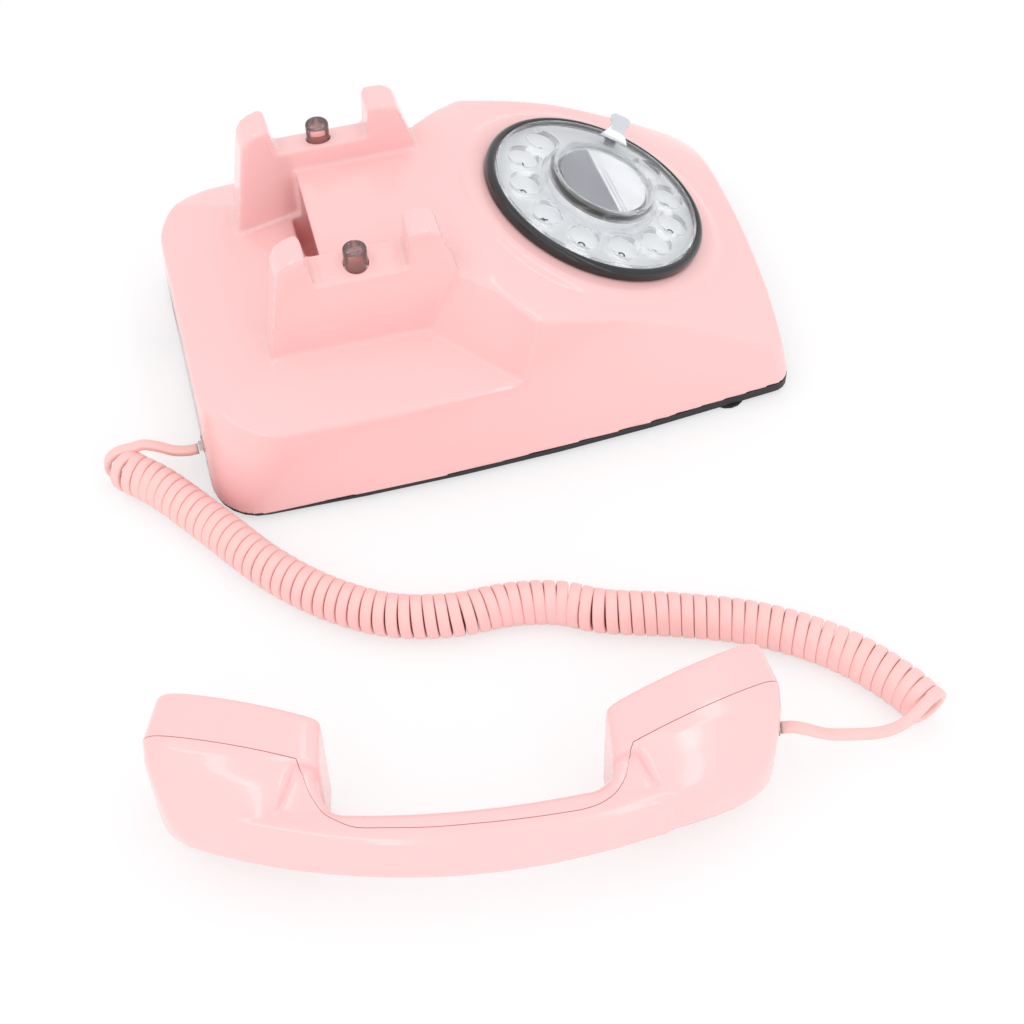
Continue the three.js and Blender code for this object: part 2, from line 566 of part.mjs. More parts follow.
function cupFrame(cup) {
  const t = radians(cup.tilt);
  const s = cup.side;
  return { along: at(Math.sin(t), s * Math.cos(t), 0), normal: at(Math.cos(t), -s * Math.sin(t), 0),
    middle: at(cup.x, cup.y, 0) };
}

// An arched section between an inner and an outer point, standing in the plane through Z. The powers say
// how square its two ends are.
function cupRing(inner, outer, half, shares, innerPower, outerPower) {
  const centre = inner.clone().add(outer).multiplyScalar(0.5), reach = inner.distanceTo(outer) / 2;
  const along = outer.clone().sub(inner).normalize();
  const height = (t, power) => half * (1 - handset.arch * t * t) * (1 - t ** power) ** (1 / power);
  const outward = shares.map(t => [t, height(t, outerPower)]);
  const inward = shares.map(t => [-t, height(t, innerPower)]);
  const upper = [...outward.reverse(), [0, half], ...inward];
  const spots = [[1, 0], ...upper, [-1, 0], ...upper.map(([t, w]) => [t, -w]).reverse()];
  return spots.map(([t, w]) => centre.clone().addScaledVector(along, t * reach).setZ(handset.middleZ + w));
}

function cupSolid(cup, inset) {
  const { along, normal, middle } = cupFrame(cup);
  const h = handset, half = cup.length / 2, edge = h.capEdge;
  const shares = inset > 0 ? coarseShares : fineShares;
  const spot = (u, depth) => middle.clone().addScaledVector(along, u).addScaledVector(normal, -depth);
  const ring = (inner, outer, tall, i) => {
    const pull = outer.clone().sub(inner).setLength(inset);
    return cupRing(inner.clone().add(pull), outer.clone().sub(pull), tall - inset, shares,
      innerSquareness[i], outerSquareness[i]);
  };
  const face = inset > 0 ? inset + h.faceFlare : 0;
  const rings = [
    ring(spot(-half + edge, face), spot(half - edge, face), h.halfHeight - edge, 0),
    ring(spot(-half, face + edge), spot(half + h.faceFlare, face + edge), h.halfHeight, 0),
  ];
  cup.innerRail.forEach(([x, y], i) => {
    const [outerX, outerY] = cup.outerRail[i], tall = h.halfHeight * cup.heights[i];
    const inner = at(x + inset, cup.side * y, 0), outer = at(outerX + inset, cup.side * outerY, 0);
    if (tall > 3 * inset) rings.push(ring(inner, outer, tall, i));
  });
  return solidOf(loft(rings));
}

function rampSolid(side) {
  return solidOf(loft(ramp.map(([x, inner, outer, half]) =>
    cupRing(at(x, side * inner, 0), at(x, side * outer, 0), half, coarseShares, 7, 7))));
}

// Side outline of the spine, [x, y]: the curved back, the grip's inner face and the cup roots.
function spineOutline(inset) {
  const h = handset, radius = h.backRadius - inset, cx = h.backX + h.backRadius, cy = h.backMiddleY;
  const wallY = h.wallY + inset, f = h.gripFillet + inset, endY = wallY - f;
  const gripAt = y => h.gripX - inset + y * y / (2 * h.gripRadius) - h.gripSlope * y;
  const grip = [0.6, 0.2, -0.2, -0.6].map(share => [gripAt(share * endY), share * endY]);
  const reach = Math.asin((88 - inset) / radius) * 180 / Math.PI;
  const back = arc(cx, cy, radius, 180 + reach, 180 - reach, 8);
  const ear = arc(gripAt(endY) + f, endY, f, 90, 180, 4);
  const mouth = arc(gripAt(-endY) + f, -endY, f, 180, 270, 4);
  const root = h.rootX - inset;
  return [...back, [root, 92 - inset], [root, wallY], ...ear, ...grip, ...mouth, [root, -wallY],
    [root, -90 + inset]];
}

function spineSolid(inset) {
  const h = handset, straight = h.spineHalf - h.spineRound;
  const geometry = new THREE.ExtrudeGeometry(shapeOf(spineOutline(h.spineEdge)), {
    depth: 2 * straight, bevelEnabled: true, bevelThickness: h.spineRound - inset,
    bevelSize: h.spineEdge - inset, bevelSegments: inset > 0 ? 2 : 3 });
  return solidOf(geometry.translate(0, 0, h.middleZ - straight));
}

function handsetMass(inset) {
  const mass = joined(spineSolid(inset), cupSolid(earCup, inset), cupSolid(mouthCup, inset));
  return inset > 0 ? mass : joined(mass, rampSolid(1), rampSolid(-1));
}

// The line along which the two half shells meet, shifted towards the caps by a distance.
function partingLine(shift) {
  const cupLine = cup => {
    const [inner, outer] = [cup.innerRail[0], cup.outerRail[0]].map(([x, y]) => at(x, cup.side * y, 0));
    const along = outer.clone().sub(inner).normalize();
    const towardsFace = at(along.y, -along.x, 0).multiplyScalar(cup.side * shift);
    const past = inner.distanceTo(outer) + 12;
    return [handset.cornerInset, past].map(u => inner.clone().addScaledVector(along, u).add(towardsFace));
  };
  const inwards = y => (Math.abs(y) > 44 ? Math.sign(y) * shift : 0);
  const grip = partingGrip.map(([x, y]) => at(x + shift, y - inwards(y), 0));
  return [...cupLine(earCup).reverse(), ...grip, ...cupLine(mouthCup)];
}

function frontRegion(shift) {
  const line = partingLine(shift).map(p => [p.x, p.y]);
  return solidOf(prismZ([...line, [60, line[line.length - 1][1]], [60, line[0][1]]], -10, 80));
}

function soundHoles(cup, spacing) {
  const { along, normal, middle } = cupFrame(cup);
  const turn = new THREE.Quaternion().setFromUnitVectors(at(0, 0, 1), normal);
  const spots = [[0, 0], ...Array.from({ length: 6 }, (_, i) => i * 60).map(a =>
    [spacing * Math.cos(radians(a)), spacing * Math.sin(radians(a))])];
  return spots.map(([u, w]) => {
    const place = middle.clone().addScaledVector(along, u).setZ(handset.middleZ + w);
    return solidOf(disc(1.6, -5, 4, 6).applyQuaternion(turn).translate(place.x, place.y, place.z));
  });
}

function handsetShells() {
  const hollow = handsetMass(0).subtract(handsetMass(handset.wall));
  let front = hollow.intersect(frontRegion(gap / 2));
  for (const hole of [...soundHoles(earCup, 8), ...soundHoles(mouthCup, 9)]) front = front.subtract(hole);
  const w = cordSocket.width / 2 + sleeve.wall + gap, h = cordSocket.height / 2 + sleeve.wall + gap;
  const opening = solidOf(box(jack.x - w, jack.x + w, jack.y - 12, jack.y + 12, handset.middleZ - h,
    handset.middleZ + h));
  return { front: front.subtract(opening), back: hollow.subtract(frontRegion(-gap / 2)).subtract(opening) };
}

function capsuleGeometry(cup) {
  const { normal, middle } = cupFrame(cup);
  const turn = new THREE.Quaternion().setFromUnitVectors(at(0, 0, 1), normal);
  const c = capsule, back = -c.setBack - c.depth, r = c.radius - c.lipWidth, lip = -c.setBack - c.lipHeight;
  const body = turned([[0, back], [r - 1, back], [r, back + 1], [r, lip], [c.radius, lip],
    [c.radius, -c.setBack], [0, -c.setBack]], 24);
  return body.applyQuaternion(turn).translate(middle.x, middle.y, handset.middleZ);
}

// ---- cord ---------------------------------------------------------------------------------
const coilRadius = coil.outer / 2 - wire.thickness / 2;
const coilZ = coil.outer / 2 + coil.restHeight;

const coilAxis = [                    // middle of the coil on the table, [x, y]
  [-39.7, 150], [-44, 149.9], [-48.2, 146.2], [-56.2, 138.6], [-79.9, 122], [-107.7, 103.3],
  [-127.8, 84], [-141, 63.6], [-147, 41.8], [-148.2, 18.5], [-152.2, 1.5], [-160.2, -13.6],
  [-169.9, -41.8], [-182.2, -69.3], [-200.7, -94], [-221.1, -109.7], [-232.6, -115.2],
];

const tailBase = [                    // phone end, from the plug to the coil
  [-42.8, 120.6, 11], [-42.8, 125, 11], [-41.8, 130.4, 11.7], [-40.2, 136, 14], [-39.14, 141.52, 15.7],
  [-39.42, 145.71, 15.7],
];

const tailHandset = [                 // handset end, from the coil to the plug
  [-234.89, -111.56, 15.7], [-237.13, -108.01, 15.7], [-239.7, -103, 15.3], [-240.7, -97.5, 14.3],
  [-240.1, -91.5, 13.2], [-238.9, -86, 13], [-238.1, -80.5, 13.8], [-238.2, -75, 16.4],
  [-238.8, -69.8, 20.8], [-239.1, -64.36, 25.8], [-238.5, -59.1, 28.6], [-237.74, -54.99, 28.6],
];

function coilPath() {
  const line = new THREE.CatmullRomCurve3(coilAxis.map(([x, y]) => at(x, y, coilZ)), false, 'centripetal');
  line.arcLengthDivisions = 800;
  return line;
}

// Centre points of the wound cord with the outward direction of its flat side.
function coilStations() {
  const line = coilPath(), total = coil.turns * coil.steps, up = at(0, 0, 1);
  const stations = [];
  for (let i = 0; i <= total; i++) {
    const u = i / total, share = u * (1 - coil.opening) + coil.opening * u ** 4;
    const angle = Math.PI / 2 + 2 * Math.PI * i / coil.steps;
    const forward = line.getTangentAt(share);
    const sideways = up.clone().cross(forward).normalize();
    const outward = sideways.multiplyScalar(Math.cos(angle)).addScaledVector(up, Math.sin(angle));
    stations.push({ point: line.getPointAt(share).addScaledVector(outward, coilRadius), outward });
  }
  const lead = (from, to) => from.point.clone().sub(to.point).setZ(0).normalize();
  const first = lead(stations[0], stations[1]), last = lead(stations[total], stations[total - 1]);
  stations.unshift({ point: stations[0].point.clone().addScaledVector(first, coil.lead), outward: up });
  stations.push({ point: stations[total + 1].point.clone().addScaledVector(last, coil.lead), outward: up });
  return stations;
}

function coilGeometry() {
  const stations = coilStations();
  const rings = stations.map(({ point, outward }, i) => {
    const before = stations[Math.max(i - 1, 0)].point;
    const after = stations[Math.min(i + 1, stations.length - 1)].point;
    const forward = after.clone().sub(before).normalize();
    const across = forward.clone().cross(outward).normalize();
    const out = across.clone().cross(forward);
    return Array.from({ length: coil.sides }, (_, k) => {
      const a = 2 * Math.PI * (k + 0.5) / coil.sides;
      return point.clone().addScaledVector(across, wire.width / 2 * Math.cos(a))
        .addScaledVector(out, wire.thickness / 2 * Math.sin(a));
    });
  });
  return { geometry: loft(rings), rings };
}

// Least distance between neighbouring turns, measured over the points of their sections.
function coilGap(rings) {
  let least = Infinity;
  for (let i = 0; i < rings.length; i++) {
    const end = Math.min(i + coil.steps + 3, rings.length);
    for (let j = i + coil.steps - 3; j < end; j++) {
      for (const p of rings[i]) for (const q of rings[j]) least = Math.min(least, p.distanceTo(q));
    }
  }
  return least;
}

function tubeGeometry(points, steps) {
  const curve = new THREE.CatmullRomCurve3(points.map(([x, y, z]) => at(x, y, z)), false, 'centripetal');
  const section = shapeOf(Array.from({ length: wire.sides }, (_, i) => {
    const a = 2 * Math.PI * i / wire.sides;
    return [wire.diameter / 2 * Math.cos(a), wire.diameter / 2 * Math.sin(a)];
  }));
  return new THREE.ExtrudeGeometry(section, { extrudePath: curve, steps, bevelEnabled: false });
}

// A plug with its waist towards +Y; the wire starts beyond the waist, at Y = 0.
function plugSolid() {
  const p = plug, w = p.width / 2, h = p.height / 2, end = -gap, neck = end - p.waist;
  const body = solidOf(box(-w, w, neck - p.length, neck, -h, h));
  return body.add(solidOf(box(-w * 0.55, w * 0.55, neck - 0.1, end, -h * 0.6, h * 0.6)));
}

// ---- assembly -----------------------------------------------------------------------------
const finish = {
  pinkShell: { color: 0xf6c3c2, roughness: 0.22, metalness: 0 },
  pinkCord: { color: 0xf4bdb8, roughness: 0.42, metalness: 0 },
  blackPlastic: { color: 0x26262a, roughness: 0.35, metalness: 0 },
  rubber: { color: 0x1d1d1f, roughness: 0.8, metalness: 0 },
  clear: { color: 0xdfe6ea, roughness: 0.06, metalness: 0 },
  smokeClear: { color: 0x8c6468, roughness: 0.12, metalness: 0 },
  silverPlate: { color: 0xc2c6ca, roughness: 0.4, metalness: 0.2 },
  card: { color: 0xe9e9ec, roughness: 0.5, metalness: 0 },
  chrome: { color: 0xd9dcdf, roughness: 0.1, metalness: 1 },
  steel: { color: 0xa9adb1, roughness: 0.35, metalness: 1 },
  brass: { color: 0xc6a45a, roughness: 0.35, metalness: 1 },
  board: { color: 0x2f6b45, roughness: 0.5, metalness: 0 },
  mechanism: { color: 0xd8d4c8, roughness: 0.5, metalness: 0 },
};

const phone = new THREE.Group();

function piece(name, shape, finishName, parent = phone) {
  const geometry = shape.isBufferGeometry ? geometryOf(solidOf(shape)) : geometryOf(shape);
  const mesh = new THREE.Mesh(geometry, new THREE.MeshStandardMaterial(finish[finishName]));
  mesh.name = name;
  parent.add(mesh);
  return mesh;
}

function addBase() {
  piece('body_shell', bodyShell(), 'pinkShell');
  piece('base_plate', basePlate(), 'blackPlastic');
  const corner = ([sx, sy]) => `${sy < 0 ? 'front' : 'rear'}_${sx < 0 ? 'left' : 'right'}`;
  for (const [sx, sy] of screwSpots) {
    const foot = turned([[0, 0], [base.footRadius - 0.8, 0], [base.footRadius, 0.7],
      [base.footRadius, base.plateBottom - gap], [0, base.plateBottom - gap]], 16);
    piece(`foot_${corner([sx, sy])}`, foot.translate(sx * base.footX, sy * base.footY, 0), 'rubber');
    const screw = screwGeometry(base.screwHead, base.screwHeadHeight, base.screwShank, base.screwLength);
    piece(`base_screw_${corner([sx, sy])}`,
      screw.translate(sx * base.screwX, sy * base.screwY, base.plateBottom), 'steel');
  }
}

function addSockets() {
  for (const [name, spec] of [['cord_socket', cordSocket], ['line_socket', lineSocket]]) {
    piece(name, socketSolid(spec), 'blackPlastic').position.set(spec.x, plan.rearY - 0.6, spec.z);
  }
}

function addInside() {
  const z = base.deckTop + gap, { board, post, ballast, ringer } = inside;
  const lift = z + post.height, x = board.halfWidth - post.inset, near = board.frontY + post.inset;
  piece('circuit_board', box(-board.halfWidth, board.halfWidth, board.frontY, board.rearY, lift,
    lift + board.thickness), 'board');
  const posts = [[-x, near], [x, near], [-x, board.rearY - post.inset], [x, board.rearY - post.inset]];
  posts.forEach(([px, py], i) => piece(`board_post_${i + 1}`,
    disc(post.radius, z, lift - gap, 12).translate(px, py, 0), 'blackPlastic'));
  piece('ballast_weight', box(-ballast.halfWidth, ballast.halfWidth, ballast.frontY, ballast.rearY, z,
    z + ballast.height), 'steel');
  const { radius: r, height: h, neckRadius: neck, chamfer: c } = ringer;
  const body = turned([[0, 0], [r - c, 0], [r, c], [r, 0.75 * h], [neck, 0.75 * h], [neck - c, h],
    [0, h]], 24);
  piece('ringer_sounder', body.translate(0, ringer.y, z), 'blackPlastic');
}

// A round body along X about the hook's pivot.
function onPivot(geometry) {
  return geometry.rotateY(Math.PI / 2).translate(0, lever.pivotY, lever.pivotZ);
}

// The lever under the two plungers: an arm and a boss on each side, a bar between them and a tongue.
function leverSolid() {
  const l = lever, y = l.pivotY, z = l.pivotZ, padTop = plunger.topZ - plunger.length - gap;
  const r = l.bossRadius, w = l.armWidth / 2, pad = l.padWidth / 2;
  const arm = [[y - r, z - r], [y + r, z - r], [l.padY + pad + 1, padTop - 4.5],
    [l.padY + pad + 1, padTop - 1.6], [l.padY + pad, padTop], [l.padY - pad, padTop],
    [l.padY - pad - 1, padTop - 2.2], [y + 2, z + r], [y - r, z + r]];
  const tongue = [[y + r + 0.6, z - 14], [y + r + 4, z - 14], [y + r + 4, z + 1.6], [y + r + 0.6, z + 1.6]];
  const bar = [[y + r + 0.6, z - 1.6], [y + r + 4, z - 1.6], [y + r + 4, z + 1.6], [y + r + 0.6, z + 1.6]];
  const solid = joined(solidOf(prismX(arm, plunger.x - w, plunger.x + w)),
    solidOf(prismX(arm, -plunger.x - w, -plunger.x + w)), solidOf(prismX(bar, -plunger.x, plunger.x)),
    solidOf(prismX(tongue, -4, 4)));
  const bore = disc(l.pinRadius + gap, -l.pinLength / 2 - 2, l.pinLength / 2 + 2, 12);
  return solid.subtract(solidOf(onPivot(bore)));
}

// Two uprights and a foot that carry the pivot pin over the base.
function hookFrame() {
  const l = lever, z0 = base.deckTop + gap, y0 = l.pivotY - 4, y1 = l.pivotY + 3.6, t = l.frameWall;
  const upright = x => solidOf(box(x - t / 2, x + t / 2, y0, y1, z0, l.pivotZ + 4));
  const foot = solidOf(box(-l.frameX - t / 2, l.frameX + t / 2, y0, y1, z0, z0 + t));
  return joined(upright(-l.frameX), upright(l.frameX), foot)
    .subtract(solidOf(onPivot(disc(l.pinRadius + gap, -40, 40, 12))));
}

function addHook() {
  const l = lever, half = l.pinLength / 2;
  piece('hook_pivot_pin', onPivot(disc(l.pinRadius, -half, half, 12)), 'steel');
  piece('hook_lever', leverSolid(), 'steel');
  piece('hook_frame', hookFrame(), 'steel');
  piece('hook_spring', onPivot(ringBody(l.pinRadius + gap, l.springRadius, -l.springLength / 2,
    l.springLength / 2, 16)), 'steel');
  const tongueY = l.pivotY + l.bossRadius + 4, z = base.deckTop + gap;
  piece('hook_switch', box(-7, 7, tongueY - 3, tongueY + 3, z, l.pivotZ - 16), 'blackPlastic');
}

function addPlungers() {
  const p = plunger, low = p.topZ - p.length, w = p.flangeWidth / 2, l = p.flangeLength / 2;
  for (const [name, side] of [['left', -1], ['right', 1]]) {
    const stem = turned([[0, low], [p.radius, low], [p.radius, p.topZ - 0.7], [p.radius - 0.7, p.topZ],
      [0, p.topZ]], 20);
    const button = solidOf(stem).add(solidOf(box(-w, w, -l, l, low, low + p.flangeHeight)));
    piece(`hook_plunger_${name}`, button, 'smokeClear').position.set(side * p.x, p.y, 0);
  }
}

function addDial() {
  const d = dial, group = new THREE.Group();
  group.position.set(0, d.y, d.z);
  group.rotation.x = radians(d.tilt);
  phone.add(group);
  piece('dial_bezel', bezelGeometry(), 'blackPlastic', group);
  const plate = ringBody(d.bushRadius + gap, d.plateRadius, d.plateTop - d.plateThickness, d.plateTop, 40);
  piece('number_plate', plate, 'silverPlate', group);
  piece('dial_housing', housingGeometry(), 'blackPlastic', group);
  const bushTop = d.domeRise - 1.4 - d.wheelThickness - gap;
  const low = d.plateTop - d.plateThickness - gap - d.housingDepth;
  piece('dial_bush', ringBody(d.shaftRadius + d.running, d.bushRadius, low, bushTop, 16), 'brass', group);
  const floor = d.domeRise - 1.4;
  piece('finger_wheel', wheelSolid(), 'clear', group);
  piece('dial_shaft', disc(d.shaftRadius, low - 6, floor - 0.4, 16), 'steel', group);
  piece('dial_cam', ringBody(d.shaftRadius + gap, 14, low - 5, low - 1.2, 24), 'mechanism', group);
  piece('centre_card', disc(d.cardRadius, floor + gap, floor + gap + d.cardThickness, 32), 'card', group);
  const coverLow = floor + 2 * gap + d.cardThickness;
  piece('card_cover', disc(d.cardRadius + 0.4, coverLow, coverLow + d.coverThickness, 32), 'clear', group);
  const stop = piece('finger_stop', stopSolid(), 'chrome', group);
  stop.rotation.z = radians(d.stopAngle);
}

function addHandset() {
  const h = handset, group = new THREE.Group();
  group.position.set(h.x, h.y, 0);
  group.rotation.z = radians(h.turn);
  phone.add(group);
  const { front, back } = handsetShells();
  piece('handset_front_shell', front, 'pinkShell', group);
  piece('handset_back_shell', back, 'pinkShell', group);
  piece('receiver_capsule', capsuleGeometry(earCup), 'blackPlastic', group);
  piece('transmitter_capsule', capsuleGeometry(mouthCup), 'blackPlastic', group);
  const facing = [['handset_socket', socketSolid(cordSocket), 'blackPlastic', 0],
    ['cord_plug_handset', plugSolid(), 'clear', jack.reach + plug.waist + gap]];
  for (const [name, shape, look, out] of facing) {
    const fitted = piece(name, shape, look, group);
    fitted.rotation.z = Math.PI;
    fitted.position.set(jack.x, jack.y - out, h.middleZ);
  }
}

function addCord() {
  const { geometry, rings } = coilGeometry();
  console.log(`least gap between neighbouring curls: ${coilGap(rings).toFixed(2)} mm`);
  piece('cord_coil', geometry, 'pinkCord');
  piece('cord_tail_base', tubeGeometry(tailBase, 14), 'pinkCord');
  piece('cord_tail_handset', tubeGeometry(tailHandset, 18), 'pinkCord');
  piece('cord_plug_base', plugSolid(), 'clear').position.set(...tailBase[0]);
}

addBase();
addSockets();
addInside();
addHook();
addPlungers();
addDial();
addHandset();
addCord();

// The origin goes to the middle of the footprint of everything but the cord's wire.
phone.updateMatrixWorld(true);
const extent = new THREE.Box3();
phone.traverse(part => {
  if (part.isMesh && !part.name.startsWith('cord_')) extent.expandByObject(part, true);
});
const footprint = extent.getCenter(at(0, 0, 0)).setZ(extent.min.z);
phone.position.sub(footprint);
console.log(`origin moved by ${footprint.toArray().map(v => v.toFixed(4)).join(', ')} mm`);

export default phone;
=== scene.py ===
# Rotary-dial desk telephone with its handset on the table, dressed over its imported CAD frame.
# Lengths in this script are millimetres about the middle of the telephone's own plan; toFrame()
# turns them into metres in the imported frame.
from math import asin, copysign, cos, degrees, pi, radians, sin, tan
import bpy
import bmesh
from mathutils import Matrix, Vector


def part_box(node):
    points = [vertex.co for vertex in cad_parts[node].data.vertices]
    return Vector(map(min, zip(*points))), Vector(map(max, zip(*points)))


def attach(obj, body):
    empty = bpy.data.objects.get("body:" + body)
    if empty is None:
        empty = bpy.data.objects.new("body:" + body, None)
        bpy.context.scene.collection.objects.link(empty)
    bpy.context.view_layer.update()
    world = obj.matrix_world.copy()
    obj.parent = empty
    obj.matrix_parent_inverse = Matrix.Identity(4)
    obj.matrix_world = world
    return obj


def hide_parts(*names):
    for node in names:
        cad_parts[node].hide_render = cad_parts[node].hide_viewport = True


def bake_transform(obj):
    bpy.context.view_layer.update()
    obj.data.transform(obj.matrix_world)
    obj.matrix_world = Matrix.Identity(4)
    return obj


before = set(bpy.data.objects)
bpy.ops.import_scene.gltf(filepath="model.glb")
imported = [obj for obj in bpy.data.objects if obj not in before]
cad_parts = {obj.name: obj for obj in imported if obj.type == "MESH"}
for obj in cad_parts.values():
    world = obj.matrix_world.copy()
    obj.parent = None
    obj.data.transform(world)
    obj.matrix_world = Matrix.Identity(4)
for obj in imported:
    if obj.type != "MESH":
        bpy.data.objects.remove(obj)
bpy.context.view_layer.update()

scene = bpy.context.scene
collection = scene.collection
origin = Vector((-92.9283, 17.9692, 0.0))
mm = 0.001


def toFrame(point):
    return (Vector(point) - origin) * mm


def note(text):
    print("scene:", text)


# camera
camera = {"spot": (-580.7, 122.8, 634.8), "yaw": -13.659, "pitch": 52.011, "roll": -1.352, "focal": 2033.0,
          "frame": 1024, "sensor": 36}


def addCamera():
    yaw, pitch, roll = (radians(camera[k]) for k in ("yaw", "pitch", "roll"))
    ahead = Vector((cos(pitch) * cos(yaw), cos(pitch) * sin(yaw), -sin(pitch)))
    right = ahead.cross(Vector((0, 0, 1))).normalized()
    up = right.cross(ahead)
    turnedRight = right * cos(roll) + up * sin(roll)
    turnedUp = up * cos(roll) - right * sin(roll)
    data = bpy.data.cameras.new("camera")
    data.sensor_width = camera["sensor"]
    data.sensor_fit = "HORIZONTAL"
    data.lens = camera["focal"] * data.sensor_width / camera["frame"]
    data.clip_start, data.clip_end = 0.01, 20
    obj = bpy.data.objects.new("camera", data)
    turn = Matrix((turnedRight, turnedUp, -ahead)).transposed().to_4x4()
    obj.matrix_world = Matrix.Translation(toFrame(camera["spot"])) @ turn
    collection.objects.link(obj)
    scene.camera = obj


addCamera()


# noise patterns: scale, detail, roughness
grain = {
    "cloud": (14, 4, 0.55), "speck": (900, 2, 0.7), "handled": (38, 5, 0.6), "orange": (1500, 2, 0.5),
    "waves": (28, 2, 0.4), "ripple": (120, 2, 0.5), "sparkle": (900, 2, 0.5), "wear": (60, 4, 0.6),
    "smudge": (70, 5, 0.62), "brush": (60, 3, 0.6), "scratch": (500, 3, 0.5), "paper": (700, 4, 0.6),
    "floor": (3, 2, 0.5),
}


# shader maths
class Wire:
    def __init__(self, shade, socket):
        self.shade, self.socket = shade, socket

    def math(self, operation, first, second):
        return self.shade.node("Math", {"operation": operation}, first, second)

    def __add__(self, other):
        return self.math("ADD", self, other)

    def __sub__(self, other):
        return self.math("SUBTRACT", self, other)

    def __rsub__(self, other):
        return self.math("SUBTRACT", other, self)

    def __mul__(self, other):
        return self.math("MULTIPLY", self, other)

    __radd__ = __add__
    __rmul__ = __mul__

    def clamp(self):
        return self.shade.node("Clamp", {}, self)

    def step(self, low, high):
        limits = {"From Min": low, "From Max": high}
        settings = {"interpolation_type": "SMOOTHSTEP"}
        return self.shade.node("MapRange", settings, Value=self, **limits)


class Shade:
    def __init__(self, name):
        self.material = bpy.data.materials.new(name)
        self.material.use_nodes = True
        self.tree = self.material.node_tree
        self.tree.nodes.clear()

    def feed(self, socket, value):
        if isinstance(value, Wire):
            self.tree.links.new(value.socket, socket)
        else:
            socket.default_value = value

    def node(self, kind, settings=None, *values, output=0, **named):
        made = self.tree.nodes.new("ShaderNode" + kind)
        for key, value in (settings or {}).items():
            setattr(made, key, value)
        for key, value in (*enumerate(values), *named.items()):
            self.feed(made.inputs[key], value)
        return Wire(self, made.outputs[output])

    def place(self):
        return self.node("TexCoord", output="Object")

    def noise(self, pattern, where=None):
        scale, detail, rough = grain[pattern]
        return self.node("TexNoise", {}, Vector=where or self.place(), Scale=scale, Detail=detail,
                         Roughness=rough)

    def mix(self, factor, a, b):
        made = self.tree.nodes.new("ShaderNodeMix")
        made.data_type = "RGBA"
        for index, value in ((0, factor), (6, a), (7, b)):
            self.feed(made.inputs[index], value)
        return Wire(self, made.outputs[2])

    def bump(self, height, strength, distance):
        return self.node("Bump", {}, Strength=strength, Distance=distance, Height=height)

    def finish(self, **inputs):
        surface = self.node("BsdfPrincipled", {}, **inputs)
        end = self.tree.nodes.new("ShaderNodeOutputMaterial")
        self.tree.links.new(surface.socket, end.inputs["Surface"])
        return self.material


def linear(r, g, b):
    def channel(c):
        c /= 255
        return c / 12.92 if c <= 0.04045 else ((c + 0.055) / 1.055) ** 2.4
    return (channel(r), channel(g), channel(b), 1.0)


def plastic(name, colour, rough, patch=0.04, coat=0.0, orange=0.02, waves=0.0, speck=0.0, shade=0.9):
    s = Shade(name)
    base = linear(*colour)
    dark = tuple(c * shade for c in base[:3]) + (1.0,)
    tone = s.mix((s.noise("cloud") * 1.6 - 0.3).clamp(), dark, base)
    if speck:
        dots = s.noise("speck").step(0.62, 0.72)
        tone = s.mix(dots * speck, tone, (0.9, 0.9, 0.88, 1))
    height = s.noise("orange") * orange + s.noise("waves") * waves
    values = {"Base Color": tone, "Roughness": s.noise("handled") * patch + (rough - patch / 2),
              "Normal": s.bump(height, 0.35, 0.0004)}
    if coat:
        values.update({"Coat Weight": coat, "Coat Roughness": 0.06})
    return s.finish(**values)


def clearPlastic(name, tint, rough, ior=1.49, ripple=0.12, coat=0.0, through=1.0, cover=1.0):
    s = Shade(name)
    height = s.noise("ripple") * ripple + s.noise("sparkle") * 0.01
    return s.finish(**{"Base Color": linear(*tint), "Roughness": s.noise("wear") * 0.03 + rough,
                       "Transmission Weight": through, "IOR": ior, "Coat Weight": coat,
                       "Coat Roughness": 0.03, "Alpha": cover, "Normal": s.bump(height, 0.3, 0.0006)})


def metalFinish(name, colour, rough, brush=0.0):
    s = Shade(name)
    smudge = s.noise("smudge")
    bright = linear(*colour)
    dull = tuple(c * 0.8 for c in bright[:3]) + (1,)
    if brush:
        stretch = s.node("Mapping", {}, Vector=s.place(), Scale=(1.0, 60.0, 60.0))
        relief = s.bump(s.noise("brush", stretch), brush, 0.0002)
    else:
        relief = s.bump(s.noise("scratch"), 0.05, 0.0002)
    return s.finish(**{"Base Color": s.mix(smudge * 0.35, bright, dull), "Metallic": 1.0,
                       "Roughness": smudge * 0.12 + rough, "Normal": relief})


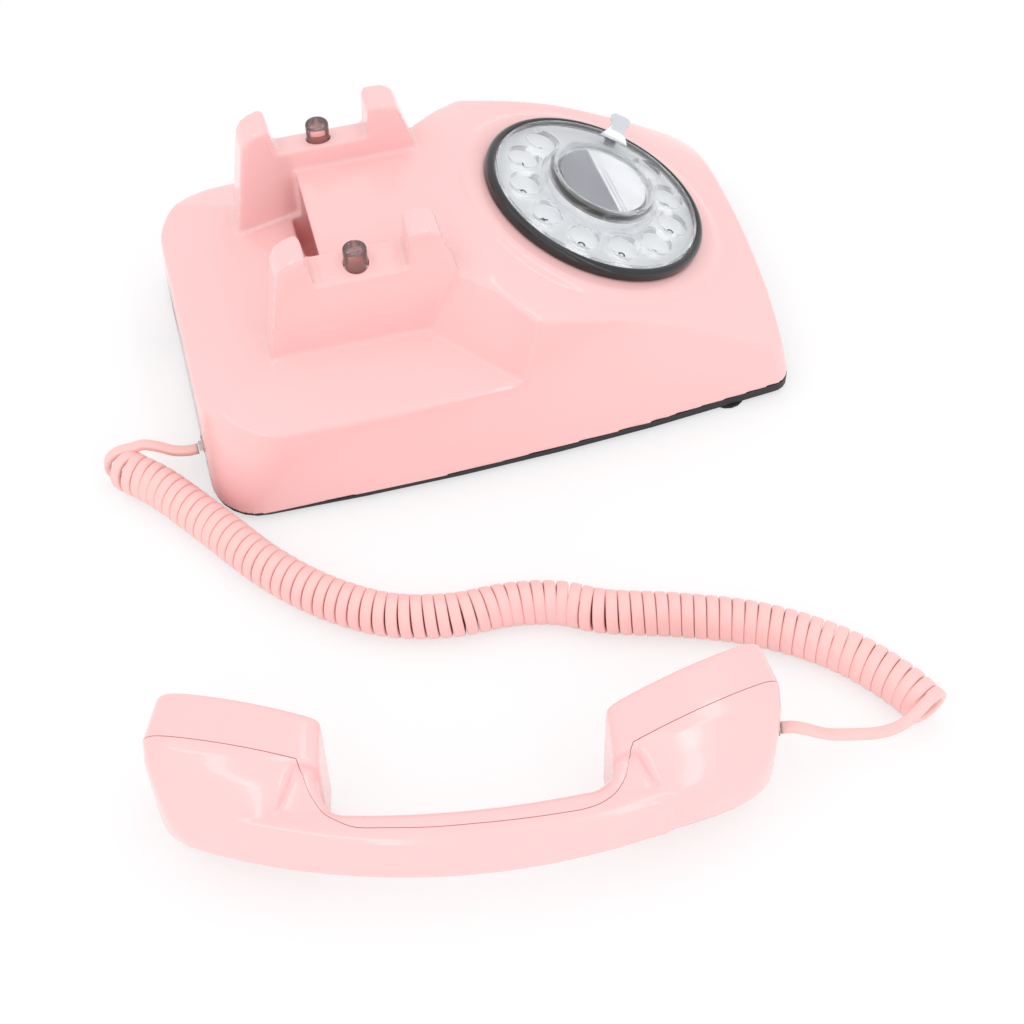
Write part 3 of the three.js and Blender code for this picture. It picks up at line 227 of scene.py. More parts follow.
looks = {
    "pinkShell": plastic("pink_shell", (252, 200, 198), 0.18, 0.05, coat=0.5, waves=0.12, shade=0.985),
    "pinkCord": plastic("pink_cord", (253, 203, 198), 0.36, 0.08, orange=0.06, waves=0.1, shade=0.975),
    "black": plastic("black_plastic", (26, 26, 29), 0.16, 0.06, coat=0.3, waves=0.1, shade=0.7),
    "baseBlack": plastic("base_black", (40, 40, 43), 0.5, 0.1, orange=0.3, shade=0.7),
    "rubber": plastic("foot_rubber", (30, 30, 31), 0.75, 0.15, orange=0.6, speck=0.05, shade=0.6),
    "board": plastic("circuit_board", (47, 107, 69), 0.45, 0.1, shade=0.7),
    "mechanism": plastic("cam_plastic", (216, 212, 200), 0.45, 0.1, shade=0.85),
    "silver": plastic("number_plate", (250, 251, 253), 0.38, 0.08, orange=0.1, shade=0.97),
    "digits": plastic("digit_ink", (52, 54, 60), 0.5, 0.1, shade=0.7),
    "clear": clearPlastic("clear_plastic", (254, 255, 255), 0.01, 1.34, coat=0.9, cover=0.74),
    "window": clearPlastic("window_plastic", (254, 255, 255), 0.01, 1.2, 0.02, cover=0.3),
    "peg": clearPlastic("peg_plastic", (255, 214, 210), 0.01, 1.42, 0.04, coat=0.5, through=0.92),
    "plugClear": clearPlastic("plug_plastic", (246, 240, 240), 0.06, 1.46, 0.2),
    "chrome": metalFinish("chrome", (226, 229, 233), 0.05),
    "steel": metalFinish("steel", (168, 172, 176), 0.28, 0.2),
    "brass": metalFinish("brass", (200, 166, 92), 0.3, 0.15),
}


def cardLook():
    s = Shade("card_paper")
    spread = s.node("SeparateXYZ", {}, s.place()).socket.node.outputs
    x, y = (Wire(s, spread[i]) for i in (0, 1))
    centre = toFrame(placedOnDial((0, 0, dial["domeRise"] - 0.9)))
    across = (x - centre.x) * cos(cardTurn) + (y - centre.y) * (sin(cardTurn) / cos(tilt))
    fibre = s.noise("paper")

    def past(start):
        return (across - start).step(-0.0001, 0.0001)
    darkHalf, lightHalf, lineTone = linear(134, 134, 142), linear(249, 249, 252), linear(170, 172, 180)
    lines = past(0.0016) * (1 - past(0.0021)) + past(0.0032) * (1 - past(0.0037))
    tone = s.mix(across.step(-0.0002, 0.0002), darkHalf, lightHalf)
    tone = s.mix(lines * 0.9, tone, lineTone)
    return s.finish(**{"Base Color": s.mix(fibre * 0.1, tone, (0.5, 0.5, 0.52, 1)),
                       "Roughness": fibre * 0.1 + 0.42, "Normal": s.bump(fibre, 0.08, 0.0002)})


# mesh helpers
def newObject(name, points, faces, convert=True):
    mesh = bpy.data.meshes.new(name)
    mesh.from_pydata([toFrame(p) if convert else Vector(p) for p in points], [], faces)
    work = bmesh.new()
    work.from_mesh(mesh)
    bmesh.ops.remove_doubles(work, verts=work.verts, dist=1e-7)
    bmesh.ops.recalc_face_normals(work, faces=work.faces)
    if convert and work.calc_volume(signed=True) < 0:
        bmesh.ops.reverse_faces(work, faces=work.faces)
    work.to_mesh(mesh)
    work.free()
    obj = bpy.data.objects.new(name, mesh)
    collection.objects.link(obj)
    return obj


def loft(rings, closed=False):
    count = len(rings[0])
    points = [p for ring in rings for p in ring]
    faces = []
    spans = len(rings) if closed else len(rings) - 1
    for r in range(spans):
        s = (r + 1) % len(rings)
        for i in range(count):
            j = (i + 1) % count
            faces.append((r * count + i, r * count + j, s * count + j, s * count + i))
    if not closed:
        faces.append(tuple(reversed(range(count))))
        faces.append(tuple((len(rings) - 1) * count + i for i in range(count)))
    return points, faces


def prism(outline, axis, low, high):
    def lift(u, v, w):
        return {"x": (w, u, v), "y": (u, w, v), "z": (u, v, w)}[axis]
    return loft([[lift(u, v, w) for u, v in outline] for w in (low, high)])


def boxMesh(x0, x1, y0, y1, z0, z1):
    return prism([(x0, y0), (x1, y0), (x1, y1), (x0, y1)], "z", z0, z1)


def lathe(profile, steps, place=lambda p: p):
    rings = []
    for k in range(steps):
        a = 2 * pi * k / steps
        rings.append([place((r * cos(a), r * sin(a), z)) for r, z in profile])
    return loft(rings, closed=True)


def arc(cx, cy, radius, start, end, steps):
    angles = [radians(start + (end - start) * i / steps) for i in range(steps + 1)]
    return [(cx + radius * cos(a), cy + radius * sin(a)) for a in angles]


def movedTo(x, y):
    return lambda p: (p[0] + x, p[1] + y, p[2])


def evaluated(obj):
    bpy.context.view_layer.update()
    graph = bpy.context.evaluated_depsgraph_get()
    return bpy.data.meshes.new_from_object(obj.evaluated_get(graph))


def swapMesh(obj, made):
    old = obj.data
    obj.modifiers.clear()
    obj.data = made
    bpy.data.meshes.remove(old)
    return obj


def applied(obj):
    return swapMesh(obj, evaluated(obj))


def combine(obj, other, operation="DIFFERENCE"):
    step = obj.modifiers.new("cut", "BOOLEAN")
    step.operation, step.object, step.solver = operation, other, "MANIFOLD"
    made = evaluated(obj)
    if len(made.vertices) in (0, len(obj.data.vertices)):
        note(f"{obj.name} and {other.name}: exact solver")
        bpy.data.meshes.remove(made)
        step.solver = "EXACT"
        made = evaluated(obj)
    bpy.data.objects.remove(other)
    return swapMesh(obj, made)


def shaped(obj, name, mesh, operation="DIFFERENCE"):
    return combine(obj, newObject(name, *mesh), operation)


def remeshed(obj, voxel):
    step = obj.modifiers.new("remesh", "REMESH")
    step.mode, step.voxel_size = "VOXEL", voxel
    step.use_smooth_shade = True
    return applied(obj)


def softened(obj, rounds, weight=None):
    step = obj.modifiers.new("soften", "SMOOTH")
    step.factor, step.iterations = 0.5, rounds
    if weight:
        group = obj.vertex_groups.new(name="soft")
        for vertex in obj.data.vertices:
            group.add([vertex.index], weight(vertex.co), "REPLACE")
        step.vertex_group = "soft"
    applied(obj)
    obj.vertex_groups.clear()
    return obj


def smoothShaded(obj, angle=None):
    for polygon in obj.data.polygons:
        polygon.use_smooth = True
    if angle:
        edges = bmesh.new()
        edges.from_mesh(obj.data)
        for edge in edges.edges:
            edge.smooth = len(edge.link_faces) == 2 and edge.calc_face_angle(0) < radians(angle)
        edges.to_mesh(obj.data)
        edges.free()
    return obj


def rounded(obj, width, angle=30):
    step = obj.modifiers.new("round", "BEVEL")
    step.width, step.segments, step.limit_method = width * mm, 3, "ANGLE"
    step.angle_limit, step.harden_normals = radians(angle), False
    return applied(obj)


def dress(obj, look, body, slotName, *nodes):
    obj.data.materials.clear()
    obj.data.materials.append(look)
    if body:
        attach(obj, body)
    if nodes:
        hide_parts(*nodes)
    note(f"{obj.name}: {sum(len(p.vertices) - 2 for p in obj.data.polygons)} triangles")
    return obj


# handset cord
wire = {"width": 4.28, "thickness": 2.85, "sides": 14, "power": 0.52, "coilSteps": 24,
        "tailStep": 1.0}
coil = {"outer": 17.0, "turns": 74, "rest": 0.15, "opening": 0.03, "fill": 0.955}
coilAxis = [
    (-39.7, 150), (-44, 149.9), (-48.2, 146.2), (-56.2, 138.6), (-79.9, 122), (-107.7, 103.3), (-127.8, 84),
    (-141, 63.6), (-147, 41.8), (-148.2, 18.5), (-152.2, 1.5), (-160.2, -13.6), (-169.9, -41.8),
    (-182.2, -69.3), (-200.7, -94), (-221.1, -109.7), (-232.6, -115.2),
]
tailBase = [
    (-42.8, 120.6, 11), (-42.8, 125, 11), (-41.8, 130.4, 11.7), (-40.2, 136, 14), (-39.14, 141.52, 15.7),
    (-39.42, 145.71, 15.7),
]
tailHandset = [
    (-234.89, -111.56, 15.7), (-237.13, -108.01, 15.7), (-239.7, -103, 15.3), (-240.7, -97.5, 14.3),
    (-240.1, -91.5, 13.2), (-238.9, -86, 13), (-238.1, -80.5, 13.8), (-238.2, -75, 16.4),
    (-238.8, -69.8, 20.8), (-239.1, -64.36, 25.8), (-238.5, -59.1, 28.6), (-237.74, -54.99, 28.6),
]


def centripetal(points, density):
    pts = [Vector(p if len(p) == 3 else (*p, 0)) for p in points]
    pts = [pts[0] * 2 - pts[1]] + pts + [pts[-1] * 2 - pts[-2]]
    out = []
    for p0, p1, p2, p3 in zip(pts, pts[1:], pts[2:], pts[3:]):
        t1 = (p1 - p0).length ** 0.5
        t2 = t1 + (p2 - p1).length ** 0.5
        t3 = t2 + (p3 - p2).length ** 0.5
        count = max(2, int((p2 - p1).length * density))
        for k in range(count):
            t = t1 + (t2 - t1) * k / count
            a1 = p0 * ((t1 - t) / t1) + p1 * (t / t1)
            a2 = p1 * ((t2 - t) / (t2 - t1)) + p2 * ((t - t1) / (t2 - t1))
            a3 = p2 * ((t3 - t) / (t3 - t2)) + p3 * ((t - t2) / (t3 - t2))
            b1 = a1 * ((t2 - t) / t2) + a2 * (t / t2)
            b2 = a2 * ((t3 - t) / (t3 - t1)) + a3 * ((t - t1) / (t3 - t1))
            out.append(b1 * ((t2 - t) / (t2 - t1)) + b2 * ((t - t1) / (t2 - t1)))
    out.append(pts[-2].copy())
    return out


class Line:
    def __init__(self, points):
        self.points, self.lengths = points, [0.0]
        for a, b in zip(points, points[1:]):
            self.lengths.append(self.lengths[-1] + (b - a).length)
        self.total = self.lengths[-1]

    def spot(self, share):
        want = min(max(share, 0), 1) * self.total
        low, high = 0, len(self.lengths) - 2
        while low < high:
            middle = (low + high + 1) // 2
            if self.lengths[middle] <= want:
                low = middle
            else:
                high = middle - 1
        span = self.lengths[low + 1] - self.lengths[low]
        t = (want - self.lengths[low]) / span
        return self.points[low].lerp(self.points[low + 1], t)

    def heading(self, share):
        return (self.spot(share + 0.002) - self.spot(share - 0.002)).normalized()


def coilStations():
    radius = coil["outer"] / 2 - wire["thickness"] / 2
    height = coil["outer"] / 2 + coil["rest"]
    axis = Line([Vector((p.x, p.y, height)) for p in centripetal(coilAxis, 2)])
    total = coil["turns"] * wire["coilSteps"]
    up = Vector((0, 0, 1))
    stations = []
    for i in range(total + 1):
        u = i / total
        share = u * (1 - coil["opening"]) + coil["opening"] * u ** 4
        angle = pi / 2 + 2 * pi * i / wire["coilSteps"]
        sideways = up.cross(axis.heading(share)).normalized()
        outward = sideways * cos(angle) + up * sin(angle)
        pitch = axis.total / coil["turns"] * (1 - coil["opening"] + 4 * coil["opening"] * u ** 3)
        stations.append((axis.spot(share) + outward * radius, outward, pitch * coil["fill"]))
    return stations


def cordStations():
    def straight(count, spotAt, steps):
        return [(spotAt(k / count), Vector((0, 0, 1)), wire["width"]) for k in steps]

    def lead(points):
        line = Line(centripetal(points, 4))
        count = int(line.total / wire["tailStep"])
        return straight(count, line.spot, range(count + 1))

    def joinedBy(a, b):
        count = max(2, int((b[0] - a[0]).length / wire["tailStep"]))
        return straight(count, lambda share: a[0].lerp(b[0], share), range(1, count))
    turns, first, last = coilStations(), lead(tailBase), lead(tailHandset)
    return first + joinedBy(first[-1], turns[0]) + turns + joinedBy(turns[-1], last[0]) + last


def superEllipse(k, width, height):
    a = 2 * pi * (k + 0.5) / wire["sides"]
    c, s = cos(a), sin(a)
    return (copysign(abs(c) ** wire["power"], c) * width / 2,
            copysign(abs(s) ** wire["power"], s) * height / 2)


def addCord():
    stations = cordStations()
    rings = []
    across = None
    for i, (point, outward, width) in enumerate(stations):
        before, after = stations[max(i - 1, 0)][0], stations[min(i + 1, len(stations) - 1)][0]
        ahead = (after - before).normalized()
        side = ahead.cross(outward)
        across = side.normalized() if side.length > 0.2 else across
        out = across.cross(ahead)
        ring = []
        for k in range(wire["sides"]):
            u, v = superEllipse(k, width, wire["thickness"])
            ring.append(point + across * u + out * v)
        rings.append(ring)
    points, faces = loft(rings)
    cord = smoothShaded(newObject("handset_cord", points, faces))
    dress(cord, looks["pinkCord"], None, "pink_cord", "cord_coil", "cord_tail_base", "cord_tail_handset")
    path = [toFrame(station[0]) for station in stations]
    length = sum((b - a).length for a, b in zip(path, path[1:]))
    note(f"cord length {length:.4f} m")
    toFrame((-241, -76, 18.2))
    toFrame((-241, -76, 26.0))
    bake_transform(cord)


addCord()

# body
plan = {
    "halfWidth": 78.2, "widestY": 46, "sideRadius": 1374, "frontY": -125.5, "frontRadius": 600, "cornerX": 60,
    "rearY": 118.6, "frontCorner": 8.5, "rearCorner": 20, "leastCorner": 2, "rearSpread": 0.34,
    "spreadTop": 60, "draftTop": 11.3, "draftHeight": 69, "draftPower": 1.2, "frontLean": 0.18,
    "rearLean": 0.02,
}
shell = {"rearEdgeZ": 3.4, "frontEdgeZ": 6.8, "floorZ": -1, "topZ": 112, "wall": 2.6, "voxel": 1.0}
table = {"z": 81.5, "frontY": 3, "rearY": 60.2, "edgeHalfWidth": 65, "crownPower": 3.5}
deckEdge = [(-128, 8), (-120.5, 18.5), (-114, 25.5), (-105, 32), (-80.5, 46.5), (-50, 61.2), (-9.3, 71.9),
            (10, 75), (62, 79)]
cradle = {
    "outerX": 43.2, "innerX": 29.2, "saddleZ": 91.5, "saddleOuterZ": 87.6, "saddleFrontY": 29.7,
    "saddleRearY": 66.5, "footY": 10.4, "footZ": 80.4, "frontCrestY": 22.5, "frontCrestZ": 105.8,
    "rearCrestY": 69.1, "rearCrestZ": 103.7, "rearTopY": 80.3, "rearTopZ": 98.1, "rearFootY": 86.5,
    "frontBottomY": 24.4, "frontBottomZ": 54.2,
}
scoop = {"floorZ": 53.8, "floorSlope": 0.4, "shoulder": (65.2, -9.3, 71.9), "crease": (70.9, 9.8, 44),
         "facet": (50.1, 17.4, 50)}
shelf = {"z": 52.8, "slope": 0.25}
pit = {"halfWidth": 27, "frontY": 38, "rearY": 64, "bottomZ": 41, "roof": 3.6}
dial = {
    "y": -57.2, "z": 67.2, "tilt": 22.3, "plateauRadius": 56.8, "plateauTop": -5.8, "plateauEdge": 2,
    "plateauDepth": 26, "bezelRadius": 47.3, "bezelTop": -0.6, "bezelWall": 3.3, "wheelRadius": 43.6,
    "wheelThickness": 2.2, "domeRise": 6.2, "ringRadius": 21.4, "ringWidth": 1.9, "ringRise": 1.1,
    "holeCount": 10, "holeRadius": 6.3, "holeCircle": 33.2, "holePitch": 30, "firstHole": 32,
    "plateTop": -4.2, "cardRadius": 18.3, "cardThickness": 0.5, "coverThickness": 0.8,
    "housingRadius": 38, "shaftRadius": 3, "stopAngle": -27, "digitHeight": 7.2, "digitDepth": 0.06,
}
plunger = {"x": 36, "y": 48.7, "radius": 4.6, "topZ": 97.4, "running": 0.4}
sockets = [{"x": -42.8, "z": 11, "width": 8.3, "height": 7.2},
           {"x": 30, "z": 12.2, "width": 13, "height": 11}]
gap, sleeveWall = 0.3, 1.5
tilt = radians(dial["tilt"])
cardTurn = radians(-85.3)


def lowerEdgeZ(y):
    front = min(max((plan["rearY"] - y) / (plan["rearY"] - plan["frontY"]), 0), 1)
    return shell["rearEdgeZ"] + (shell["frontEdgeZ"] - shell["rearEdgeZ"]) * front


def planOutline(inset, fine, rise=0):
    p = plan

    def side(y):
        return p["halfWidth"] - (y - p["widestY"]) ** 2 / (2 * p["sideRadius"]) - inset

    def front(x):
        return p["frontY"] + x ** 2 / (2 * p["frontRadius"]) + inset
    rearY = p["rearY"] - inset
    rearR = max(p["rearCorner"] + p["rearSpread"] * rise - inset, p["leastCorner"])
    frontR = max(p["frontCorner"] - inset, p["leastCorner"])
    rearX, frontX = side(rearY - rearR), side(front(p["cornerX"]) + frontR)
    frontSide = front(frontX - frontR)
    right = [(x, front(x)) for x in ((frontX - frontR) * i / fine for i in range(fine))]
    right += arc(frontX - frontR, frontSide + frontR, frontR, -90, 0, fine)
    low, high = frontSide + frontR, rearY - rearR
    right += [(side(y), y) for y in (low + (high - low) * i / (2 * fine) for i in range(1, 2 * fine))]
    right += arc(rearX - rearR, rearY - rearR, rearR, 0, 90, fine)
    return right + [(-x, y) for x, y in reversed(right[1:])]


def wallMesh(inset, fine, levels):
    p, low = plan, shell["rearEdgeZ"]
    rings = []
    for z in levels:
        ring = []
        for x, y in planOutline(inset, fine, min(max(z, low), p["spreadTop"]) - low):
            height = z if z > 0 else lowerEdgeZ(y)
            rise = height - low
            squeeze = 1 - p["draftTop"] * (rise / p["draftHeight"]) ** p["draftPower"] / p["halfWidth"]
            rear = (y - p["frontY"]) / (p["rearY"] - p["frontY"])
            lean = p["frontLean"] * rise * (1 - rear) - p["rearLean"] * rise * rear
            ring.append((x * squeeze, y + lean, height))
        rings.append(ring)
    if inset > 0:
        rings.insert(0, [(x, y, shell["floorZ"] - 3) for x, y, _ in rings[0]])
    return loft(rings)


def smoothstep(x, low, high):
    t = min(max((x - low) / (high - low), 0), 1)
    return t * t * (3 - 2 * t)


def alongStations(stations, y):
    last = len(stations) - 1

    def slope(i):
        (y0, z0), (y1, z1) = stations[max(i - 1, 0)], stations[min(i + 1, last)]
        return (z1 - z0) / (y1 - y0)
    i = 0
    while i < last - 1 and y > stations[i + 1][0]:
        i += 1
    (ya, za), (yb, zb) = stations[i], stations[i + 1]
    h = yb - ya
    t = min(max((y - ya) / h, 0), 1)
    return (za * (2 * t ** 3 - 3 * t ** 2 + 1) + zb * (3 * t ** 2 - 2 * t ** 3)
            + slope(i) * h * (t ** 3 - 2 * t ** 2 + t) + slope(i + 1) * h * (t ** 3 - t ** 2))


def dialPlaneZ(y):
    y0 = dial["y"] - dial["plateauTop"] * sin(tilt)
    z0 = dial["z"] + dial["plateauTop"] * cos(tilt)
    return z0 + (y - y0) * tan(tilt)


def deckZ(x, y):
    centre = min(dialPlaneZ(y) - 1.5, table["z"])
    edge = min(alongStations(deckEdge, y), centre)
    share = min(abs(x) / table["edgeHalfWidth"], 1.25) ** table["crownPower"]
    return centre - (centre - edge) * share


def deckMesh(inset, step):
    x1, y0, y1 = plan["halfWidth"] + 3, plan["frontY"] - 5, table["rearY"] - inset
    columns, rows = 2 * round(x1 / step), round((y1 - y0) / step)
    xs = [-x1 + 2 * x1 * i / columns for i in range(columns + 1)]
    ys = [y0 + (y1 - y0) * j / rows for j in range(rows + 1)]
    points = [(x, y, deckZ(x, y) - inset * 1.1) for y in ys for x in xs]
    rim = [i for i in range(columns + 1)] + [j * (columns + 1) + columns for j in range(1, rows + 1)]
    rim += [rows * (columns + 1) + i for i in range(columns - 1, -1, -1)]
    rim += [j * (columns + 1) for j in range(rows - 1, 0, -1)]
    faces = []
    for j in range(rows):
        for i in range(columns):
            a = j * (columns + 1) + i
            faces.append((a, a + 1, a + columns + 2, a + columns + 1))
    base = len(points)
    floor = shell["floorZ"] - inset
    points += [(points[i][0], points[i][1], floor) for i in rim]
    for k, i in enumerate(rim):
        n = (k + 1) % len(rim)
        faces.append((i, base + k, base + n, rim[n]))
    faces.append(tuple(base + k for k in range(len(rim))))
    return points, faces


def shelfZ(y):
    return shelf["z"] - shelf["slope"] * (y - cradle["rearFootY"])


def rearMesh(inset):
    y0, y1, floor = table["rearY"] - 25, plan["rearY"] + 6, shell["floorZ"] - inset
    outline = [(y0, floor), (y1, floor), (y1, shelfZ(y1) - inset), (y0, shelfZ(y0) - inset)]
    return prism(outline, "x", -plan["halfWidth"] - 3, plan["halfWidth"] + 3)


def cradleOutline():
    c, bottom = cradle, shelf["z"] - 20
    crest, top = c["frontCrestY"], c["frontCrestZ"]
    rear, high = c["rearCrestY"], c["rearCrestZ"]
    front = [(c["footY"], bottom), (c["footY"], c["footZ"]), (c["footY"] + 2.8, c["footZ"] + 10.6)]
    frontProng = [(crest - 6, top - 3.8), (crest - 4.6, top - 2.2), (crest - 2.4, top - 0.8), (crest, top),
                  (crest + 3.6, top), (crest + 5.8, top - 0.8), (crest + 6.5, top - 2.4)]
    saddle = [(c["saddleFrontY"], c["saddleZ"]), (c["saddleRearY"], c["saddleZ"])]
    rearProng = [(rear - 0.6, high - 1.4), (rear + 0.8, high), (rear + 5.4, high - 1.2),
                 (c["rearTopY"] - 2.2, c["rearTopZ"] + 1.9), (c["rearTopY"], c["rearTopZ"] - 2)]
    return front + frontProng + saddle + rearProng + [(c["rearFootY"], shelf["z"]), (c["rearFootY"], bottom)]


def cradleMesh(side):
    c = cradle
    return prism(cradleOutline(), "x", *sorted((side * c["innerX"], side * c["outerX"])))


# sloping faces move in by more than the wall, so that it keeps its thickness
def innerCradleMesh(side, inset):
    c, bottom = cradle, shelf["z"] - 20
    roof = c["saddleOuterZ"] - inset
    rear = c["rearFootY"] - 1.4 * inset
    outline = [(c["footY"], bottom), (c["footY"] + inset, c["footZ"] - 4 * inset),
               (c["frontCrestY"] + inset, roof), (c["rearTopY"] - 3 * inset, roof),
               (rear, shelf["z"] - inset), (rear, bottom)]
    return prism(outline, "x", *sorted((side * (c["innerX"] + inset), side * (c["outerX"] - inset))))


def wedgeMesh(side):
    c, outer = cradle, cradle["outerX"] + 1
    top = c["saddleZ"] + 3
    section = [(c["innerX"], c["saddleZ"]), (outer, c["saddleOuterZ"]), (outer, top), (c["innerX"], top)]
    return loft([[(side * x, y, z) for x, z in section] for y in (c["saddleFrontY"], c["saddleRearY"])])


def beyondPlane(name, a, b, c, outward, shift):
    a, b, c = Vector(a), Vector(b), Vector(c)
    normal = (b - a).cross(c - a).normalized()
    if normal.dot(Vector(outward)) < 0:
        normal.negate()
    half = 100
    turn = Vector((0, 0, 1)).rotation_difference(normal).to_matrix()
    centre = a + normal * (half - shift)
    points, faces = boxMesh(-half, half, -half, half, -half, half)
    return newObject(name, [centre + turn @ Vector(p) for p in points], faces)


def scoopObject(side, inset):
    s, c, rise = scoop, cradle, shell["topZ"] + 20
    foot = (side * c["outerX"], c["footY"], c["footZ"])
    bottom = (side * c["outerX"], c["frontBottomY"], c["frontBottomZ"])
    shoulder, crease, facet = ((side * x, y, z) for x, y, z in (s["shoulder"], s["crease"], s["facet"]))
    away = (side, 1, 1)
    front = beyondPlane("front", foot, shoulder, crease, away, inset)
    combine(front, beyondPlane("facet", foot, bottom, facet, away, inset), "UNION")
    inner, outer = c["outerX"] - inset, plan["halfWidth"] + 12

    def floorAt(x):
        return s["floorZ"] - s["floorSlope"] * (x - c["outerX"]) - inset
    y0, y1 = s["shoulder"][1] - 12, plan["rearY"] + 12
    section = ((inner, floorAt(inner)), (outer, floorAt(outer)), (outer, rise), (inner, rise))
    rings = [[(side * x, y, z) for x, z in section] for y in (y0, y1)]
    return combine(newObject("scoop", *loft(rings)), front, "INTERSECT")


def pitMesh(grow):
    p = pit
    roof = table["z"] - p["roof"] + grow
    rear = table["rearY"] + 1
    outline = [(p["frontY"] - grow, p["bottomZ"] - grow), (p["rearY"] + grow, p["bottomZ"] - grow),
               (p["rearY"] + grow, shelfZ(p["rearY"]) + 3), (rear, shelfZ(table["rearY"]) + 4), (rear, roof),
               (p["frontY"] + 8 - grow, roof), (p["frontY"] - grow, roof - 8)]
    return prism(outline, "x", -p["halfWidth"] - grow, p["halfWidth"] + grow)


def placedOnDial(point):
    x, y, z = point
    c, s = cos(tilt), sin(tilt)
    return (x, dial["y"] + y * c - z * s, dial["z"] + y * s + z * c)


def plateauMesh(inset, steps):
    d = dial
    top, r, e = d["plateauTop"] - inset, d["plateauRadius"] - inset, d["plateauEdge"]
    profile = [(0.001, top - d["plateauDepth"]), (r, top - d["plateauDepth"]), (r, top - e),
               (r - 0.3 * e, top - 0.35 * e), (r - e, top), (0.001, top)]
    return lathe(profile, steps, placedOnDial)


def bodyMass(inset, step, fine, levels, steps):
    mass = newObject("body_shell_surface" if inset == 0 else "hollow", *deckMesh(inset, step))
    shaped(mass, "plateau", plateauMesh(inset, steps), "UNION")
    shaped(mass, "rear", rearMesh(inset), "UNION")
    for side in (1, -1):
        if inset == 0:
            block = shaped(newObject("block", *cradleMesh(side)), "wedge", wedgeMesh(side))
        else:
            block = newObject("block", *innerCradleMesh(side, inset))
        combine(mass, block, "UNION")
    shaped(mass, "walls", wallMesh(inset, fine, levels), "INTERSECT")
    for side in (1, -1):
        combine(mass, scoopObject(side, inset))
    return shaped(mass, "pit", pitMesh(inset))


def addBody():
    levels = [0, 9] + list(range(12, 90, 6)) + [shell["topZ"]]
    body = bodyMass(0, 2.6, 14, levels, 128)
    note("body mass ready")
    remeshed(body, shell["voxel"] * mm)

    def soft(co):
        y = co.y / mm + origin.y
        x, z = abs(co.x / mm + origin.x), co.z / mm
        nearBlock = smoothstep(y, 2, 8) * smoothstep(50 - x, 0, 6) * smoothstep(z, 44, 52)
        lowEdge = 1 - smoothstep(z, 8, 14)
        return 1 - max(nearBlock * 0.85, lowEdge)
    softened(body, 3)
    softened(body, 9, soft)
    note("body softened")
    combine(body, bodyMass(shell["wall"], 18, 5, [0, 32, 60, shell["topZ"]], 32))
    hole = [(0.001, dial["plateauTop"] - 16), (dial["housingRadius"] + gap, dial["plateauTop"] - 16),
            (dial["housingRadius"] + gap, dial["plateauTop"] + 4), (0.001, dial["plateauTop"] + 4)]
    shaped(body, "dial_hole", lathe(hole, 64, placedOnDial))
    for side in (1, -1):
        r, z = plunger["radius"] + plunger["running"], cradle["saddleZ"]
        profile = [(0.001, z - 14), (r, z - 14), (r, z + 4), (0.001, z + 4)]
        shaped(body, "hole", lathe(profile, 48, movedTo(side * plunger["x"], plunger["y"])))
    for spec in sockets:
        w, h = spec["width"] / 2 + sleeveWall + gap, spec["height"] / 2 + sleeveWall + gap
        x, y, z = spec["x"], plan["rearY"], spec["z"]
        shaped(body, "opening", boxMesh(x - w, x + w, y - 12, y + 5, z - h, z + h))
    smoothShaded(body, 32)
    dress(body, looks["pinkShell"], "base", "pink_shell", "body_shell")


addBody()
note("body done")


# dial
def dialPiece(name, profile, steps, angle):
    return smoothShaded(newObject(name, *lathe(profile, steps, placedOnDial)), angle)


def addBezel():
    d = dial
    low, high, outer = d["plateauTop"] + gap, d["bezelTop"], d["bezelRadius"]
    inner = outer - d["bezelWall"]
    profile = [(inner, low), (outer - 0.5, low), (outer, low + 0.5)]
    profile += [(outer - 2.2 + 2.2 * cos(a), high - 2.4 + 2.4 * sin(a))
                for a in (radians(v) for v in range(0, 91, 10))]
    profile += [(inner + 0.5, high - 0.2), (inner + 0.15, high - 0.5), (inner, high - 1)]
    bezel = dialPiece("bezel_ring", profile, 160, 40)
    dress(bezel, looks["black"], "base", "black_plastic", "dial_bezel")


def wheelTop(r):
    d, edge, shoulder = dial, dial["wheelRadius"] - 2, 25.5
    slope = min(max((edge - r) / (edge - shoulder), 0), 1)
    rise = smoothstep(r, d["ringRadius"], shoulder)
    return 1.6 * slope + (d["domeRise"] - 1.6) * (1 - rise)


